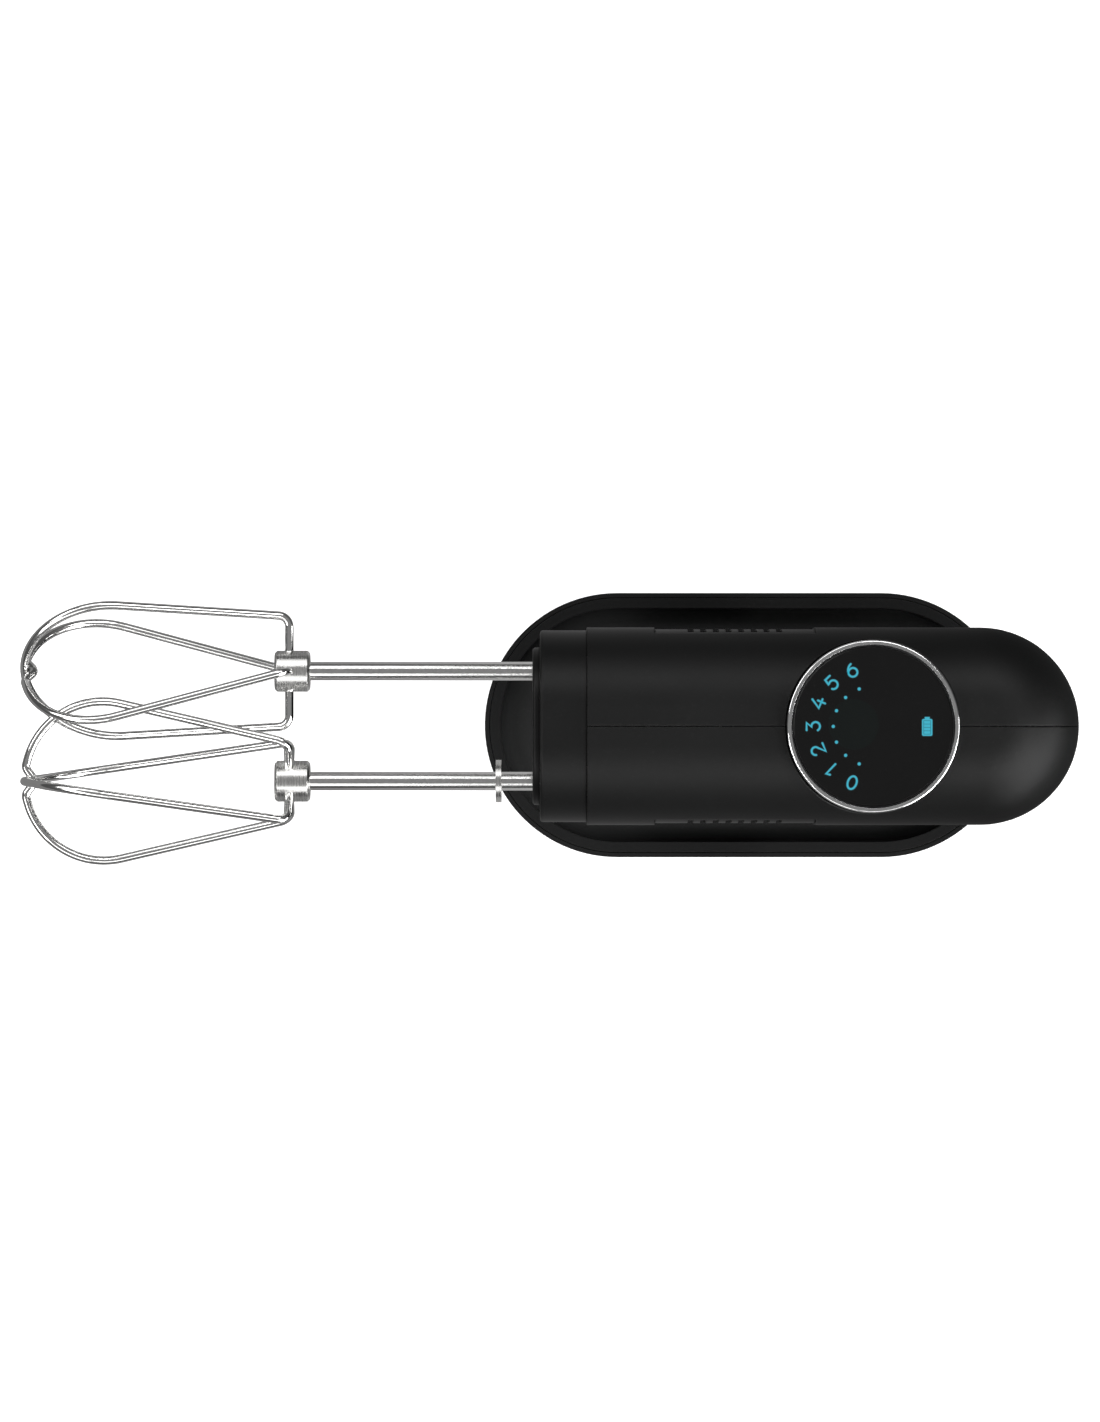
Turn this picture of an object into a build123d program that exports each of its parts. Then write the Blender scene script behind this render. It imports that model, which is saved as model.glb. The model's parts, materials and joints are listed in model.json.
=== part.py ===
from build123d import *
import math
import os

os.makedirs("parts", exist_ok=True)

# A cordless hand mixer standing on its heel on a charging base. Millimetres, +Z up.
# The origin is the middle of the base's underside. The beaters lie level and point to -X;
# the handle is on the +X side. The user's right hand side is +Y.

# ---- Fits and gaps ----
running_gap = 0.06          # radial, turning and sliding fits
part_gap = 0.2              # between trim pieces of one body
body_gap = 0.35             # between pieces that move past each other
seat_gap = 0.05             # between faces that rest on each other
thread_gap = 0.05           # radial, round a screw's thread

# ---- Charging base ----
base_length = 176.0
base_width = 88.0
base_height = 24.5
foot_pad_thickness = 1.6
foot_pad_inset = 4.0
pan_wall = 1.5
pan_floor = 2.0
pan_edge_round = 5.0
cover_land = 3.4            # flat rim round the dish
dish_depth = 8.5
dish_round = 5.0
cover_floor = 2.0
cover_skirt = 2.2
cover_skirt_depth = 3.0     # below the dish floor's underside
lip_height = 3.5
lip_thickness = 2.0
lip_gap = 1.0               # round the heel
base_boss_end = 28.0        # screw bosses from the base's ends
base_boss_y = 29.0
base_boss_radius = 3.6
ballast_end_gaps = (15.0, 19.0)     # between the plates and the front and rear ends
ballast_board_gaps = (4.0, 0.0)     # between the plates and the board
ballast_width = 46.0
ballast_height = 5.0
base_screw_seat = 1.0       # depth of pan floor left under each screw's head
base_board_size = (62.0, 40.0, 1.6)
board_stand = 0.8
inlet_size = (13.0, 11.0, 7.0)
inlet_setback = 1.4         # behind the pan's wall
inlet_bore = 2.9
inlet_back = 2.0
inlet_pin = 1.0
pin_spacing = 14.0
pin_radius = 1.5
pin_flange_radius = 2.3
pin_flange_thickness = 1.2
pin_travel = 1.5
pin_block_size = (28.0, 16.0)
pin_spring_wire = 0.3
pin_spring_radius = 1.8
pin_spring_turns = 3
pin_tip_round = 0.6
pin_seat_depth = 2.2        # top of the flange below the cover
base_screw_clear = 1.0      # screw's end below the dish floor

# ---- Heel ----
heel_front_x = -45.0
heel_rear_x = 52.0
heel_width = 50.0
heel_corner = 14.0
heel_gap = 0.3              # heel above the dish floor
heel_cap_height = 9.0
heel_cap_buried = 4.0       # height of the cap that the body is cut out of
heel_cap_edge_round = 1.0
contact_radius = 3.0
contact_thickness = 1.2

# ---- Mixer body ----
head_side_room = 13.45      # between each beater's axis and the body's side
shell_wall = 2.5
head_front_x = -54.9
dome_end_x = 97.0
head_bottom = 147.0
head_top = 205.0
crown_round = 24.0
belly_round = 14.0
pillar_front_x = -53.4
pillar_rear_x = 14.0
pillar_width = 58.0
pillar_corner = 14.0
pillar_bottom = 20.0
pillar_bottom_round = 13.0
pillar_top_drop = 10.0      # below the head's middle
handle_depth = 34.0
handle_width = 42.0
handle_round = 16.0
handle_bend = 20.0          # centre line of the bend into the heel bar
bar_start_x = -20.0
flare_bottom = 128.0
flare_top = 163.0
flare_size = 56.0
flare_round = 24.0
flare_setback = 1.5         # in front of the dome's end
flare_overlap = 5.0         # grip run inside the flare
parting_gap = 0.2

# ---- Grip pad, let into the back of the handle ----
grip_size = (24.0, 66.0)
grip_round = 11.0
grip_z = 95.0
grip_thickness = 1.2

# ---- Nose ----
nose_length = 14.5
nose_step = 0.9             # how far the ring stands inside the body's sides
nose_height = 59.0
nose_round = 23.0
nose_edge_round = 1.0
nose_flange = 2.0
nose_opening_margin = 4.95  # outside the beaters' middles
nose_opening_height = 45.0
nose_opening_round = 15.0
nose_drop = 0.9             # below the head's crown
socket_plate_overlap = (2.3, 2.5)   # past the opening, sideways and up
socket_plate_round = 17.0
socket_plate_thickness = 2.2
socket_hole_gap = 0.7       # round each beater's shaft

# ---- Side grilles ----
grille_front_x = -33.9
grille_rear_x = 15.3
grille_bottom = 162.0
grille_top = 190.0
grille_recess = 0.6
grille_thickness = 1.6
slot_count = 8
slot_width = 1.9
slot_zone = (-24.9, 6.3)
slot_margin = 2.5

# ---- Vents low on the motor housing ----
vent_count = 5
vent_bottom = 95.0
vent_pitch = 6.5
vent_height = 2.2
vent_x_range = (-42.0, -14.0)

# ---- Dial ----
dial_x = 32.2
ring_outer = 26.35
ring_wall = 1.4
ring_bottom = 192.0
ring_top = 209.0
ring_edge_round = 0.6
carrier_height = 1.6
seat_wall = 1.6
seat_floor = 2.0
seat_bottom = 187.5
seat_flange_reach = 4.65    # past the ring, front and rear
seat_flange_y = 23.0
seat_flange_corner = 8.0
glass_thickness = 1.4
glass_gap = 0.55            # inside the ring
glass_drop = 0.5            # below the ring's top
glass_bevel = 0.3
display_gap = 0.3           # between the glass and its circuit board
display_board_margin = 0.6
display_board_thickness = 1.6

# ---- Beaters ----
beater_z = 173.0
beater_spacing = 34.1
shaft_radius = 2.9
beater_inner_x = -46.0
hex_length = 14.0
hub_radius = 6.4
hub_front_x = -151.6
hub_rear_x = -140.6
hub_chamfer = 0.8
collar_x = -82.2
collar_radius = 6.6
collar_thickness = 1.8
hub_shaft_inset = 0.5       # shaft's end inside the hub's front face
wire_end_gap = 0.1
wire_radius = 1.35
tip_x = -229.2
shoulder_x = -147.1
shoulder_radius = 17.05
shoulder_round = 3.5
widest_radius = 24.7
dimple_points = ((0.9, 6.5), (0.25, 4.2), (3.4, 0.0))
dimple_round = 2.4
arm_twist = 45.0            # between an arm's shoulder and its widest point

# ---- Gear drive ----
motor_x = -30.0
gear_module = 1.0
wheel_teeth = 18
worm_starts = 2
wheel_face = 6.0
worm_length = 24.0
tooth_top = 0.8             # tooth height outside and inside the pitch line, in modules
tooth_root = 1.1
tooth_thickness = 1.2
tooth_crown = 1.5           # extra lean of a wheel tooth's tip
tooth_bury = 0.3            # tooth root inside the gear's core
pressure_angle = 20.0
spindle_radius = 4.6
spindle_front_x = -67.0
spindle_overhang = 0.4      # behind the gearbox frame
hex_overlap = 0.5           # hexagonal bore into the round one
bush_radius = 6.2
frame_front_x = -53.0
frame_wall = 2.5
frame_margin = 0.75         # outside the bushes
frame_bottom = 153.0
frame_top = 186.0
gearbox_cover_thickness = 1.5
cover_screw_y = 4.0
cover_screw_radius = 0.9
cover_screw_depth = 6.0
cover_screw_head = (1.35, 0.8)      # radius, height
frame_opening_radius = 5.05         # for the motor's shaft

# ---- Motor ----
motor_radius = 18.0
motor_wall = 1.2
motor_bottom = 80.0
motor_top = 138.0
motor_shaft_radius = 2.0
motor_bush_radius = 5.0
end_plate_thickness = 2.0
end_plate_spigot = 1.5
shaft_below_motor = 4.0
shaft_above_frame = 1.0
magnet_thickness = 2.8
magnet_arc = 120.0
rotor_gap = 0.6             # air gap to the magnets
rotor_bottom = 93.0
rotor_top = 126.0
rotor_slots = 10
rotor_slot = (1.6, 5.0)
commutator_radius = 5.5
commutator_bottom = 83.0
commutator_height = 8.0
brush_size = (6.0, 3.0, 4.0)
brush_gap = 0.1
brush_lift = 2.0            # above the commutator's lower end
cushion_thickness = 2.4
cushion_height = 5.0
cushion_levels = (85.0, 130.0)
rib_thickness = 2.5
rib_rear_x = -7.0
fan_radius = 17.0
fan_blades = 9
fan_bottom = 141.0
fan_plate = 1.2
fan_height = 7.0
fan_hub_radius = 4.5
fan_blade_size = (13.0, 1.0)
fan_blade_middle = 11.0
fan_blade_lean = 25.0

# ---- Battery and circuit board ----
cell_radius = 9.1
cell_length = 65.0
cell_bottom = 38.6
terminal_radius = 3.0
terminal_height = 1.0
cell_gap = 0.1
holder_wall = 1.2
holder_gap = 0.15
holder_mouth = 2.0          # open side behind the cells' middle
main_board_x = 4.0
main_board_size = (1.6, 40.0, 66.0)
main_board_bottom = 62.0
# Chips: height, then low and high ends across the board and above its lower edge.
chips = ((1.5, -8, 2, 30, 40), (3.5, 6, 16, 8, 20), (2.2, -16, -10, 8, 16))
capacitor_spots = ((10.0, 52.0), (-11.0, 52.0))
capacitor_size = (3.0, 4.5)         # radius, height

# ---- Ejector ----
button_size = (14.0, 15.0)
button_round = 5.0
button_z = 178.0
button_depth = 7.5
eject_travel = 7.0
rod_radius = 2.0
rod_flange_radius = 3.6
rod_flange_setback = 5.5    # in front of the button
rod_flange_thickness = 2.0
rod_socket = 3.0            # rod's end inside the button
yoke_socket = 1.0
yoke_gap = 1.0              # between the pressed yoke and the spindles
yoke_thickness = 3.5
yoke_margin = 1.05          # outside the ejector pins
yoke_height = 6.0
ejector_radius = 2.4
ejector_gap = 0.3
spring_rib_x = 63.0
spring_rib_z = (168.0, 181.0)
spring_end_gap = 0.1
eject_spring_radius = 3.0
eject_spring_wire = 0.5
eject_spring_turns = 7

# ---- Housing screws: x, z of each ----
housing_screws = ((-40.0, 40.0), (2.0, 40.0), (46.0, 37.0), (4.0, 156.0), (58.0, 162.0))
boss_radius = 4.6
screw_head_radius = 2.6
screw_head_height = 2.0
screw_radius = 1.4
screw_hole = 1.6
screw_head_y = -11.0
screw_end_y = 9.0

# ---- Places worked out from the sizes above ----
base_boss_x = base_length / 2 - base_boss_end
ballast_spans = (
    (ballast_end_gaps[0] - base_length / 2, -base_board_size[0] / 2 - ballast_board_gaps[0]),
    (base_board_size[0] / 2 + ballast_board_gaps[1], base_length / 2 - ballast_end_gaps[1]),
)
body_width = beater_spacing + 2 * head_side_room
handle_x = dome_end_x - handle_depth / 2
dome_centre_x = dome_end_x - body_width / 2
bar_z = pillar_bottom + handle_depth / 2
nose_width = body_width - 2 * nose_step
nose_z = head_top - nose_drop - nose_height / 2
nose_opening = (beater_spacing + 2 * nose_opening_margin, nose_opening_height)
socket_plate_size = (
    nose_opening[0] + 2 * socket_plate_overlap[0],
    nose_opening[1] + 2 * socket_plate_overlap[1],
)
socket_hole = shaft_radius + socket_hole_gap
nose_front_x = head_front_x - nose_length
ring_inner = ring_outer - ring_wall
glass_radius = ring_inner - glass_gap
seat_flange_x = ring_outer + seat_flange_reach
glass_top = ring_top - glass_drop
glass_bottom = glass_top - glass_thickness
display_board_top = glass_bottom - display_gap
wheel_radius = gear_module * wheel_teeth / 2
worm_radius = beater_spacing / 2 - wheel_radius
worm_lead = math.pi * gear_module * worm_starts
worm_outer = worm_radius + tooth_top * gear_module
frame_rear_x = motor_x + worm_outer + 2 * body_gap + frame_wall
spindle_rear_x = frame_rear_x + spindle_overhang
frame_half_width = beater_spacing / 2 + bush_radius + frame_margin
hex_front_x = beater_inner_x - hex_length
cushion_radius = motor_radius + cushion_thickness
rotor_radius = motor_radius - motor_wall - magnet_thickness - rotor_gap
button_inner_x = dome_end_x - button_depth
rod_flange_x = button_inner_x - rod_flange_setback
yoke_half_width = beater_spacing / 2 + ejector_radius + yoke_margin
yoke_x = spindle_rear_x + eject_travel + yoke_gap
pan_bottom = foot_pad_thickness
inside_base = pan_bottom + pan_floor
dish_floor = base_height - dish_depth
cover_underside = dish_floor - cover_floor
cover_inset = pan_wall + part_gap
heel_bottom = dish_floor + heel_gap
board_level = inside_base + board_stand
pin_block_bottom = board_level + base_board_size[2]
base_screw_top = pan_bottom + base_screw_seat
pin_flange_top = cover_underside - pin_seat_depth
pin_flange_bottom = pin_flange_top - pin_flange_thickness
pin_tip = heel_bottom - seat_gap
pin_spring_start = pin_block_bottom + pin_spring_wire + seat_gap
pin_spring_end = pin_flange_bottom - pin_spring_wire - seat_gap
pin_spots = (-pin_spacing / 2, pin_spacing / 2)
beater_spots = (-beater_spacing / 2, beater_spacing / 2)
far = 60.0                  # past every piece, sideways
past = 1.0                  # how far a cutting tool runs past the face it opens


def save(name, *solids):
    shape = solids[0] if len(solids) == 1 else Compound(list(solids))
    export_step(shape, "parts/" + name + ".step")


def block(x_range, y_range, z_range):
    ranges = (x_range, y_range, z_range)
    middle = [(low + high) / 2 for low, high in ranges]
    size = [high - low for low, high in ranges]
    return Pos(*middle) * Box(*size)


def rod_x(radius, start, end, y=0.0, z=0.0):
    return Pos((start + end) / 2, y, z) * Rot(0, 90, 0) * Cylinder(radius, end - start)


def rod_y(radius, start, end, x=0.0, z=0.0):
    return Pos(x, (start + end) / 2, z) * Rot(90, 0, 0) * Cylinder(radius, end - start)


def rod_z(radius, start, end, x=0.0, y=0.0):
    return Pos(x, y, (start + end) / 2) * Cylinder(radius, end - start)


def rounded_plate(x_range, y_range, z_range, radius):
    """An upright slab whose four vertical edges are rounded."""
    size_x = x_range[1] - x_range[0]
    size_y = y_range[1] - y_range[0]
    outline = RectangleRounded(size_x, size_y, radius)
    middle = Pos((x_range[0] + x_range[1]) / 2, (y_range[0] + y_range[1]) / 2, z_range[0])
    return middle * extrude(outline, z_range[1] - z_range[0])


def rounded_section(size_y, size_z, radius, start, end, z):
    """A rounded rectangle in Y and Z, drawn out along X."""
    outline = Plane.YZ * RectangleRounded(size_y, size_z, radius)
    return Pos(start, 0, z) * extrude(outline, end - start)


def base_slab(inset, bottom, top):
    """The base's oval plan, drawn in by an inset."""
    outline = SlotOverall(base_length - 2 * inset, base_width - 2 * inset)
    return Pos(0, 0, bottom) * extrude(outline, top - bottom)


def coil(radius, wire, start, length, turns):
    """A spring along +Z with closed plain ends left off."""
    path = Helix(pitch=length / turns, height=length, radius=radius)
    section = Plane(path @ 0, z_dir=path % 0) * Circle(wire)
    return Pos(0, 0, start) * sweep(section, path, is_frenet=True)


# ---- Charging base ----

def base_bosses():
    spots = [(x, y) for x in (-base_boss_x, base_boss_x) for y in (-base_boss_y, base_boss_y)]
    return spots


def make_base_pan():
    pan = base_slab(0, pan_bottom, base_height)
    pan = fillet(pan.edges().group_by(Axis.Z)[0], pan_edge_round)
    pan -= base_slab(pan_wall, inside_base, base_height + past)
    for x, y in base_bosses():
        pan -= rod_z(screw_hole, 0, inside_base + past, x, y)
        pan -= rod_z(screw_head_radius + part_gap, 0, base_screw_top, x, y)
    inlet_z = inside_base + part_gap + inlet_size[2] / 2
    pan_end = base_length / 2
    pan -= rod_x(inlet_bore + part_gap, pan_end - 2 * pan_wall, pan_end + past, 0, inlet_z)
    return pan


def make_base_cover():
    cover = base_slab(cover_inset, cover_underside - cover_skirt_depth, base_height)
    cover -= base_slab(cover_inset + cover_skirt, 0, cover_underside)
    dish = base_slab(cover_inset + cover_land, dish_floor, base_height + dish_round)
    dish = fillet(dish.edges().group_by(Axis.Z)[0], dish_round)
    cover -= dish
    cover += heel_outline(lip_gap + lip_thickness, dish_floor, dish_floor + lip_height)
    cover -= heel_outline(lip_gap, dish_floor, dish_floor + lip_height + past)
    for x, y in base_bosses():
        cover += rod_z(base_boss_radius, inside_base + part_gap, dish_floor - seat_gap, x, y)
        cover -= rod_z(screw_radius + thread_gap, inside_base, cover_underside, x, y)
    for x in pin_spots:
        cover -= rod_z(pin_radius + part_gap, cover_underside - past, dish_floor + past, x)
    return cover


def heel_outline(grow, bottom, top):
    x_range = (heel_front_x - grow, heel_rear_x + grow)
    y_range = (-heel_width / 2 - grow, heel_width / 2 + grow)
    return rounded_plate(x_range, y_range, (bottom, top), heel_corner + grow)


def make_base_screw(x, y):
    screw = rod_z(screw_head_radius, pan_bottom, base_screw_top, x, y)
    return screw + rod_z(screw_radius, base_screw_top, cover_underside - base_screw_clear, x, y)


def make_inlet():
    front = base_length / 2 - pan_wall - part_gap - inlet_setback
    back = front - inlet_size[0]
    half = inlet_size[1] / 2
    z_low = inside_base + part_gap
    z_mid = z_low + inlet_size[2] / 2
    jack = block((back, front), (-half, half), (z_low, z_low + inlet_size[2]))
    jack -= rod_x(inlet_bore, back + inlet_back, front + past, 0, z_mid)
    return jack + rod_x(inlet_pin, back + inlet_back / 2, front - past, 0, z_mid)


def make_pin_block():
    half_x = pin_block_size[0] / 2
    half_y = pin_block_size[1] / 2
    z_range = (pin_block_bottom, cover_underside - seat_gap)
    holder = block((-half_x, half_x), (-half_y, half_y), z_range)
    for x in pin_spots:
        holder -= rod_z(pin_radius + running_gap, pin_block_bottom, cover_underside, x)
        holder -= rod_z(pin_flange_radius + part_gap, pin_block_bottom - past, pin_flange_top, x)
    return holder


def make_charge_pin(x):
    pin = rod_z(pin_radius, pin_flange_bottom, pin_tip, x)
    pin = fillet(pin.edges().group_by(Axis.Z)[-1], pin_tip_round)
    return pin + rod_z(pin_flange_radius, pin_flange_bottom, pin_flange_top - seat_gap, x)


def make_pin_spring(x):
    length = pin_spring_end - pin_spring_start
    spring = coil(pin_spring_radius, pin_spring_wire, pin_spring_start, length, pin_spring_turns)
    return Pos(x, 0, 0) * spring


# ---- Mixer body, as one solid that an inset makes smaller all round ----

def head(inset, front_x):
    """A level capsule: flat sides, rounded crown and belly, and a round rear end."""
    half = body_width / 2 - inset
    plan = Pos((front_x + dome_centre_x) / 2, 0) * Rectangle(dome_centre_x - front_x, 2 * half)
    plan += Pos(dome_centre_x, 0) * Circle(half)
    solid = Pos(0, 0, head_bottom + inset) * extrude(plan, head_top - head_bottom - 2 * inset)
    for end, radius in ((-1, crown_round), (0, belly_round)):
        rim = solid.edges().group_by(Axis.Z)[end]
        rim = rim.filter_by(lambda edge: edge.center().X > front_x + past)
        solid = fillet(rim, radius - inset)
    return solid


def pillar(inset):
    """The upright motor housing."""
    x_range = (pillar_front_x + inset, pillar_rear_x - inset)
    half = pillar_width / 2 - inset
    z_range = (pillar_bottom + inset, (head_bottom + head_top) / 2 - pillar_top_drop)
    solid = rounded_plate(x_range, (-half, half), z_range, pillar_corner - inset)
    return fillet(solid.edges().group_by(Axis.Z)[0], pillar_bottom_round - inset)


def handle(inset):
    """The heel bar, its bend and the upright grip, one rounded section all the way."""
    route = FilletPolyline(
        (bar_start_x, 0, bar_z),
        (handle_x, 0, bar_z),
        (handle_x, 0, flare_bottom + flare_overlap),
        radius=handle_bend,
    )
    outline = RectangleRounded(
        handle_width - 2 * inset, handle_depth - 2 * inset, handle_round - inset
    )
    start = Plane(origin=(bar_start_x, 0, bar_z), x_dir=(0, 1, 0), z_dir=(1, 0, 0))
    return sweep(start * outline, route)


def flare(inset):
    """The grip widening upwards into the head."""
    low = RectangleRounded(
        handle_depth - 2 * inset, handle_width - 2 * inset, handle_round - inset
    )
    high_size = flare_size - 2 * inset
    high = RectangleRounded(high_size, high_size, flare_round - inset)
    high_x = dome_end_x - flare_setback - flare_size / 2
    sections = [
        Pos(handle_x, 0, flare_bottom) * low,
        Pos(high_x, 0, flare_top) * high,
    ]
    return loft(sections)


def body(inset, front_x):
    solid = head(inset, front_x)
    solid += pillar(inset)
    solid += handle(inset)
    solid += flare(inset)
    return solid


def heel_saddle(outer):
    """The rubber heel, shaped to the body that stands on it."""
    heel = heel_outline(0, heel_bottom, heel_bottom + heel_cap_height + heel_cap_buried)
    heel = fillet(heel.edges().group_by(Axis.Z)[0], heel_cap_edge_round)
    return heel - outer


def motor_ribs():
    ribs = []
    for level in cushion_levels:
        low = level + (cushion_height - rib_thickness) / 2
        half = pillar_width / 2 - shell_wall / 2
        x_range = (pillar_front_x + shell_wall / 2, pillar_rear_x - shell_wall / 2)
        corner = pillar_corner - shell_wall / 2
        rib = rounded_plate(x_range, (-half, half), (low, low + rib_thickness), corner)
        rib -= block((rib_rear_x, pillar_rear_x), (-half, half), (low - past, low + rib_thickness + past))
        ribs.append(rib - rod_z(cushion_radius, 0, head_top, motor_x))
    return ribs


def spring_rib(outer):
    rear = spring_rib_x + rib_thickness
    rib = block((spring_rib_x, rear), (-far, far), spring_rib_z) & outer
    return rib - rod_x(rod_radius + body_gap, spring_rib_x - past, rear + past, 0, beater_z)


def grille_opening(grow, side):
    inner = body_width / 2 - belly_round
    y_range = (inner, far) if side > 0 else (-far, -inner)
    x_range = (grille_front_x - grow, grille_rear_x + grow)
    return block(x_range, y_range, (grille_bottom - grow, grille_top + grow))


def button_prism(grow):
    outline = Plane.YZ * RectangleRounded(
        button_size[0] + 2 * grow, button_size[1] + 2 * grow, button_round + grow
    )
    return Pos(button_inner_x - handle_depth / 2, 0, button_z) * extrude(outline, handle_depth)


def grip_prism(grow):
    outline = Plane.YZ * RectangleRounded(
        grip_size[0] + 2 * grow, grip_size[1] + 2 * grow, grip_round + grow
    )
    return Pos(handle_x, 0, grip_z) * extrude(outline, handle_depth)


def make_grip_pad():
    return (handle(0) - handle(grip_thickness)) & grip_prism(0)


def make_shell(side, outer, cavity):
    y_range = (parting_gap / 2, far) if side > 0 else (-far, -parting_gap / 2)
    half_space = block((-2 * dome_end_x, 2 * dome_end_x), y_range, (0, 2 * head_top))
    shell = outer - cavity
    for x, z in housing_screws:
        shell += rod_y(boss_radius, -far, far, x, z) & outer
    for rib in motor_ribs():
        shell += rib
    shell += spring_rib(outer)
    shell = shell & half_space
    shell -= rod_z(ring_outer + body_gap, seat_bottom, ring_top, dial_x)
    shell -= grille_opening(part_gap, side)
    shell -= button_prism(body_gap)
    shell -= grip_prism(part_gap / 2) - handle(grip_thickness + part_gap / 2)
    for x, z in housing_screws:
        if side > 0:
            shell -= rod_y(screw_radius + thread_gap, -past, screw_end_y + past, x, z)
        else:
            shell -= rod_y(screw_hole, screw_head_y - past, past, x, z)
            shell -= rod_y(screw_head_radius + part_gap, -far, screw_head_y, x, z)
    for index in range(vent_count):
        z = vent_bottom + vent_pitch * index
        y = side * pillar_width / 2
        shell -= block(vent_x_range, (y - 2 * shell_wall, y + past), (z, z + vent_height))
    return shell


def make_housing_screw(x, z):
    screw = rod_y(screw_head_radius, screw_head_y - screw_head_height, screw_head_y, x, z)
    return screw + rod_y(screw_radius, screw_head_y, screw_end_y, x, z)


def make_grille(side, recessed, backed):
    panel = (recessed - backed) & grille_opening(0, side)
    low, high = slot_zone
    pitch = (high - low) / slot_count
    for index in range(slot_count):
        x = low + (index + 0.5) * pitch - slot_width / 2
        z_range = (grille_bottom + slot_margin, grille_top - slot_margin)
        panel -= block((x, x + slot_width), (-far, far), z_range)
    return panel


def make_nose_ring():
    ring = rounded_section(
        nose_width, nose_height, nose_round, nose_front_x, head_front_x - seat_gap, nose_z
    )
    ring = fillet(ring.faces().sort_by(Axis.X)[0].edges(), nose_edge_round)
    ring -= rounded_section(
        nose_width - 2 * shell_wall,
        nose_height - 2 * shell_wall,
        nose_round - shell_wall,
        nose_front_x + nose_flange,
        head_front_x + past,
        nose_z,
    )
    ring -= rounded_section(
        nose_opening[0], nose_opening[1], nose_opening_round, nose_front_x - past, head_front_x, nose_z
    )
    return ring


def make_socket_plate():
    back = nose_front_x - seat_gap
    front = back - socket_plate_thickness
    plate = rounded_section(
        socket_plate_size[0], socket_plate_size[1], socket_plate_round, front, back, nose_z
    )
    plate = fillet(plate.faces().sort_by(Axis.X)[0].edges(), nose_edge_round)
    plate += rounded_section(
        nose_opening[0] - part_gap,
        nose_opening[1] - part_gap,
        nose_opening_round,
        back,
        nose_front_x + nose_flange,
        nose_z,
    )
    for y in beater_spots:
        plate -= rod_x(socket_hole, front - past, head_front_x, y, beater_z)
    return plate


# ---- Dial and display ----

def make_dial_seat():
    outer_radius = ring_inner - running_gap
    seat = rod_z(outer_radius, seat_bottom, glass_bottom, dial_x)
    flange = rounded_plate(
        (dial_x - seat_flange_x, dial_x + seat_flange_x),
        (-seat_flange_y, seat_flange_y),
        (seat_bottom, seat_bottom + seat_floor),
        seat_flange_corner,
    )
    seat += flange
    return seat - rod_z(outer_radius - seat_wall, seat_bottom + seat_floor, ring_top, dial_x)


def make_speed_ring():
    ring = rod_z(ring_outer, ring_bottom, ring_top, dial_x)
    ring = fillet(ring.edges().group_by(Axis.Z)[-1], ring_edge_round)
    return ring - rod_z(ring_inner, ring_bottom - past, ring_top + past, dial_x)


def make_ring_carrier():
    low = ring_bottom - carrier_height
    carrier = rod_z(ring_outer, low, ring_bottom, dial_x)
    return carrier - rod_z(ring_inner, low - past, ring_bottom + past, dial_x)


def make_display_glass():
    glass = rod_z(glass_radius, glass_bottom + seat_gap, glass_top, dial_x)
    return chamfer(glass.edges().group_by(Axis.Z)[-1], glass_bevel)


def make_display_board():
    radius = ring_inner - seat_wall - display_board_margin
    return rod_z(radius, display_board_top - display_board_thickness, display_board_top, dial_x)


# ---- Gear drive ----

def tooth_outline(pitch_radius, root, top):
    """One tooth of a wheel, pointing along +Y, with straight flanks."""
    lean = math.tan(math.radians(pressure_angle))
    half = tooth_thickness / 2
    points = [
        (-half - lean * root, pitch_radius - root),
        (half + lean * root, pitch_radius - root),
        (half - lean * top * tooth_crown, pitch_radius + top),
        (-half + lean * top * tooth_crown, pitch_radius + top),
    ]
    return Polygon(*points, align=None)


def make_worm_wheel(side):
    root = tooth_root * gear_module
    top = tooth_top * gear_module
    section = Circle(wheel_radius - root + tooth_bury)
    for index in range(wheel_teeth):
        section += Rot(0, 0, index * 360 / wheel_teeth) * tooth_outline(wheel_radius, root, top)
    section -= Circle(spindle_radius)
    lean_per_mm = worm_lead / (2 * math.pi * worm_radius * wheel_radius)
    twist = math.degrees(lean_per_mm * wheel_face)
    outline = section.faces()[0]
    wheel = Solid.extrude_linear_with_rotation(outline, (0, 0, 0), (0, 0, wheel_face), twist)
    wheel = Pos(0, 0, -wheel_face / 2) * Rot(0, 0, -twist / 2) * wheel
    return Pos(motor_x, side * beater_spacing / 2, beater_z) * Rot(0, 90, 0) * wheel


def make_worm():
    root = tooth_root * gear_module
    top = tooth_top * gear_module
    lean = math.tan(math.radians(pressure_angle))
    half = tooth_thickness / 2
    core_radius = worm_radius - root
    worm = Cylinder(core_radius, worm_length)
    thread_length = worm_length - worm_lead / worm_starts
    path = Helix(pitch=worm_lead, height=thread_length, radius=worm_radius)
    points = [
        (-root - tooth_bury, -half - lean * root),
        (-root - tooth_bury, half + lean * root),
        (top, half - lean * top),
        (top, -half + lean * top),
    ]
    start = Plane(origin=path @ 0, x_dir=(1, 0, 0), z_dir=(0, 1, 0))
    section = start * Polygon(*points, align=None)
    thread = sweep(section, path, is_frenet=True)
    for index in range(worm_starts):
        turn = index * 360 / worm_starts
        worm += Pos(0, 0, -thread_length / 2) * Rot(0, 0, turn) * thread
    worm -= Cylinder(motor_shaft_radius, worm_length + past)
    # Turned so that a gap between threads faces each wheel's tooth.
    phase = math.degrees(-math.pi * thread_length / worm_lead)
    return Pos(motor_x, 0, beater_z) * Rot(0, 0, phase) * worm


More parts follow.
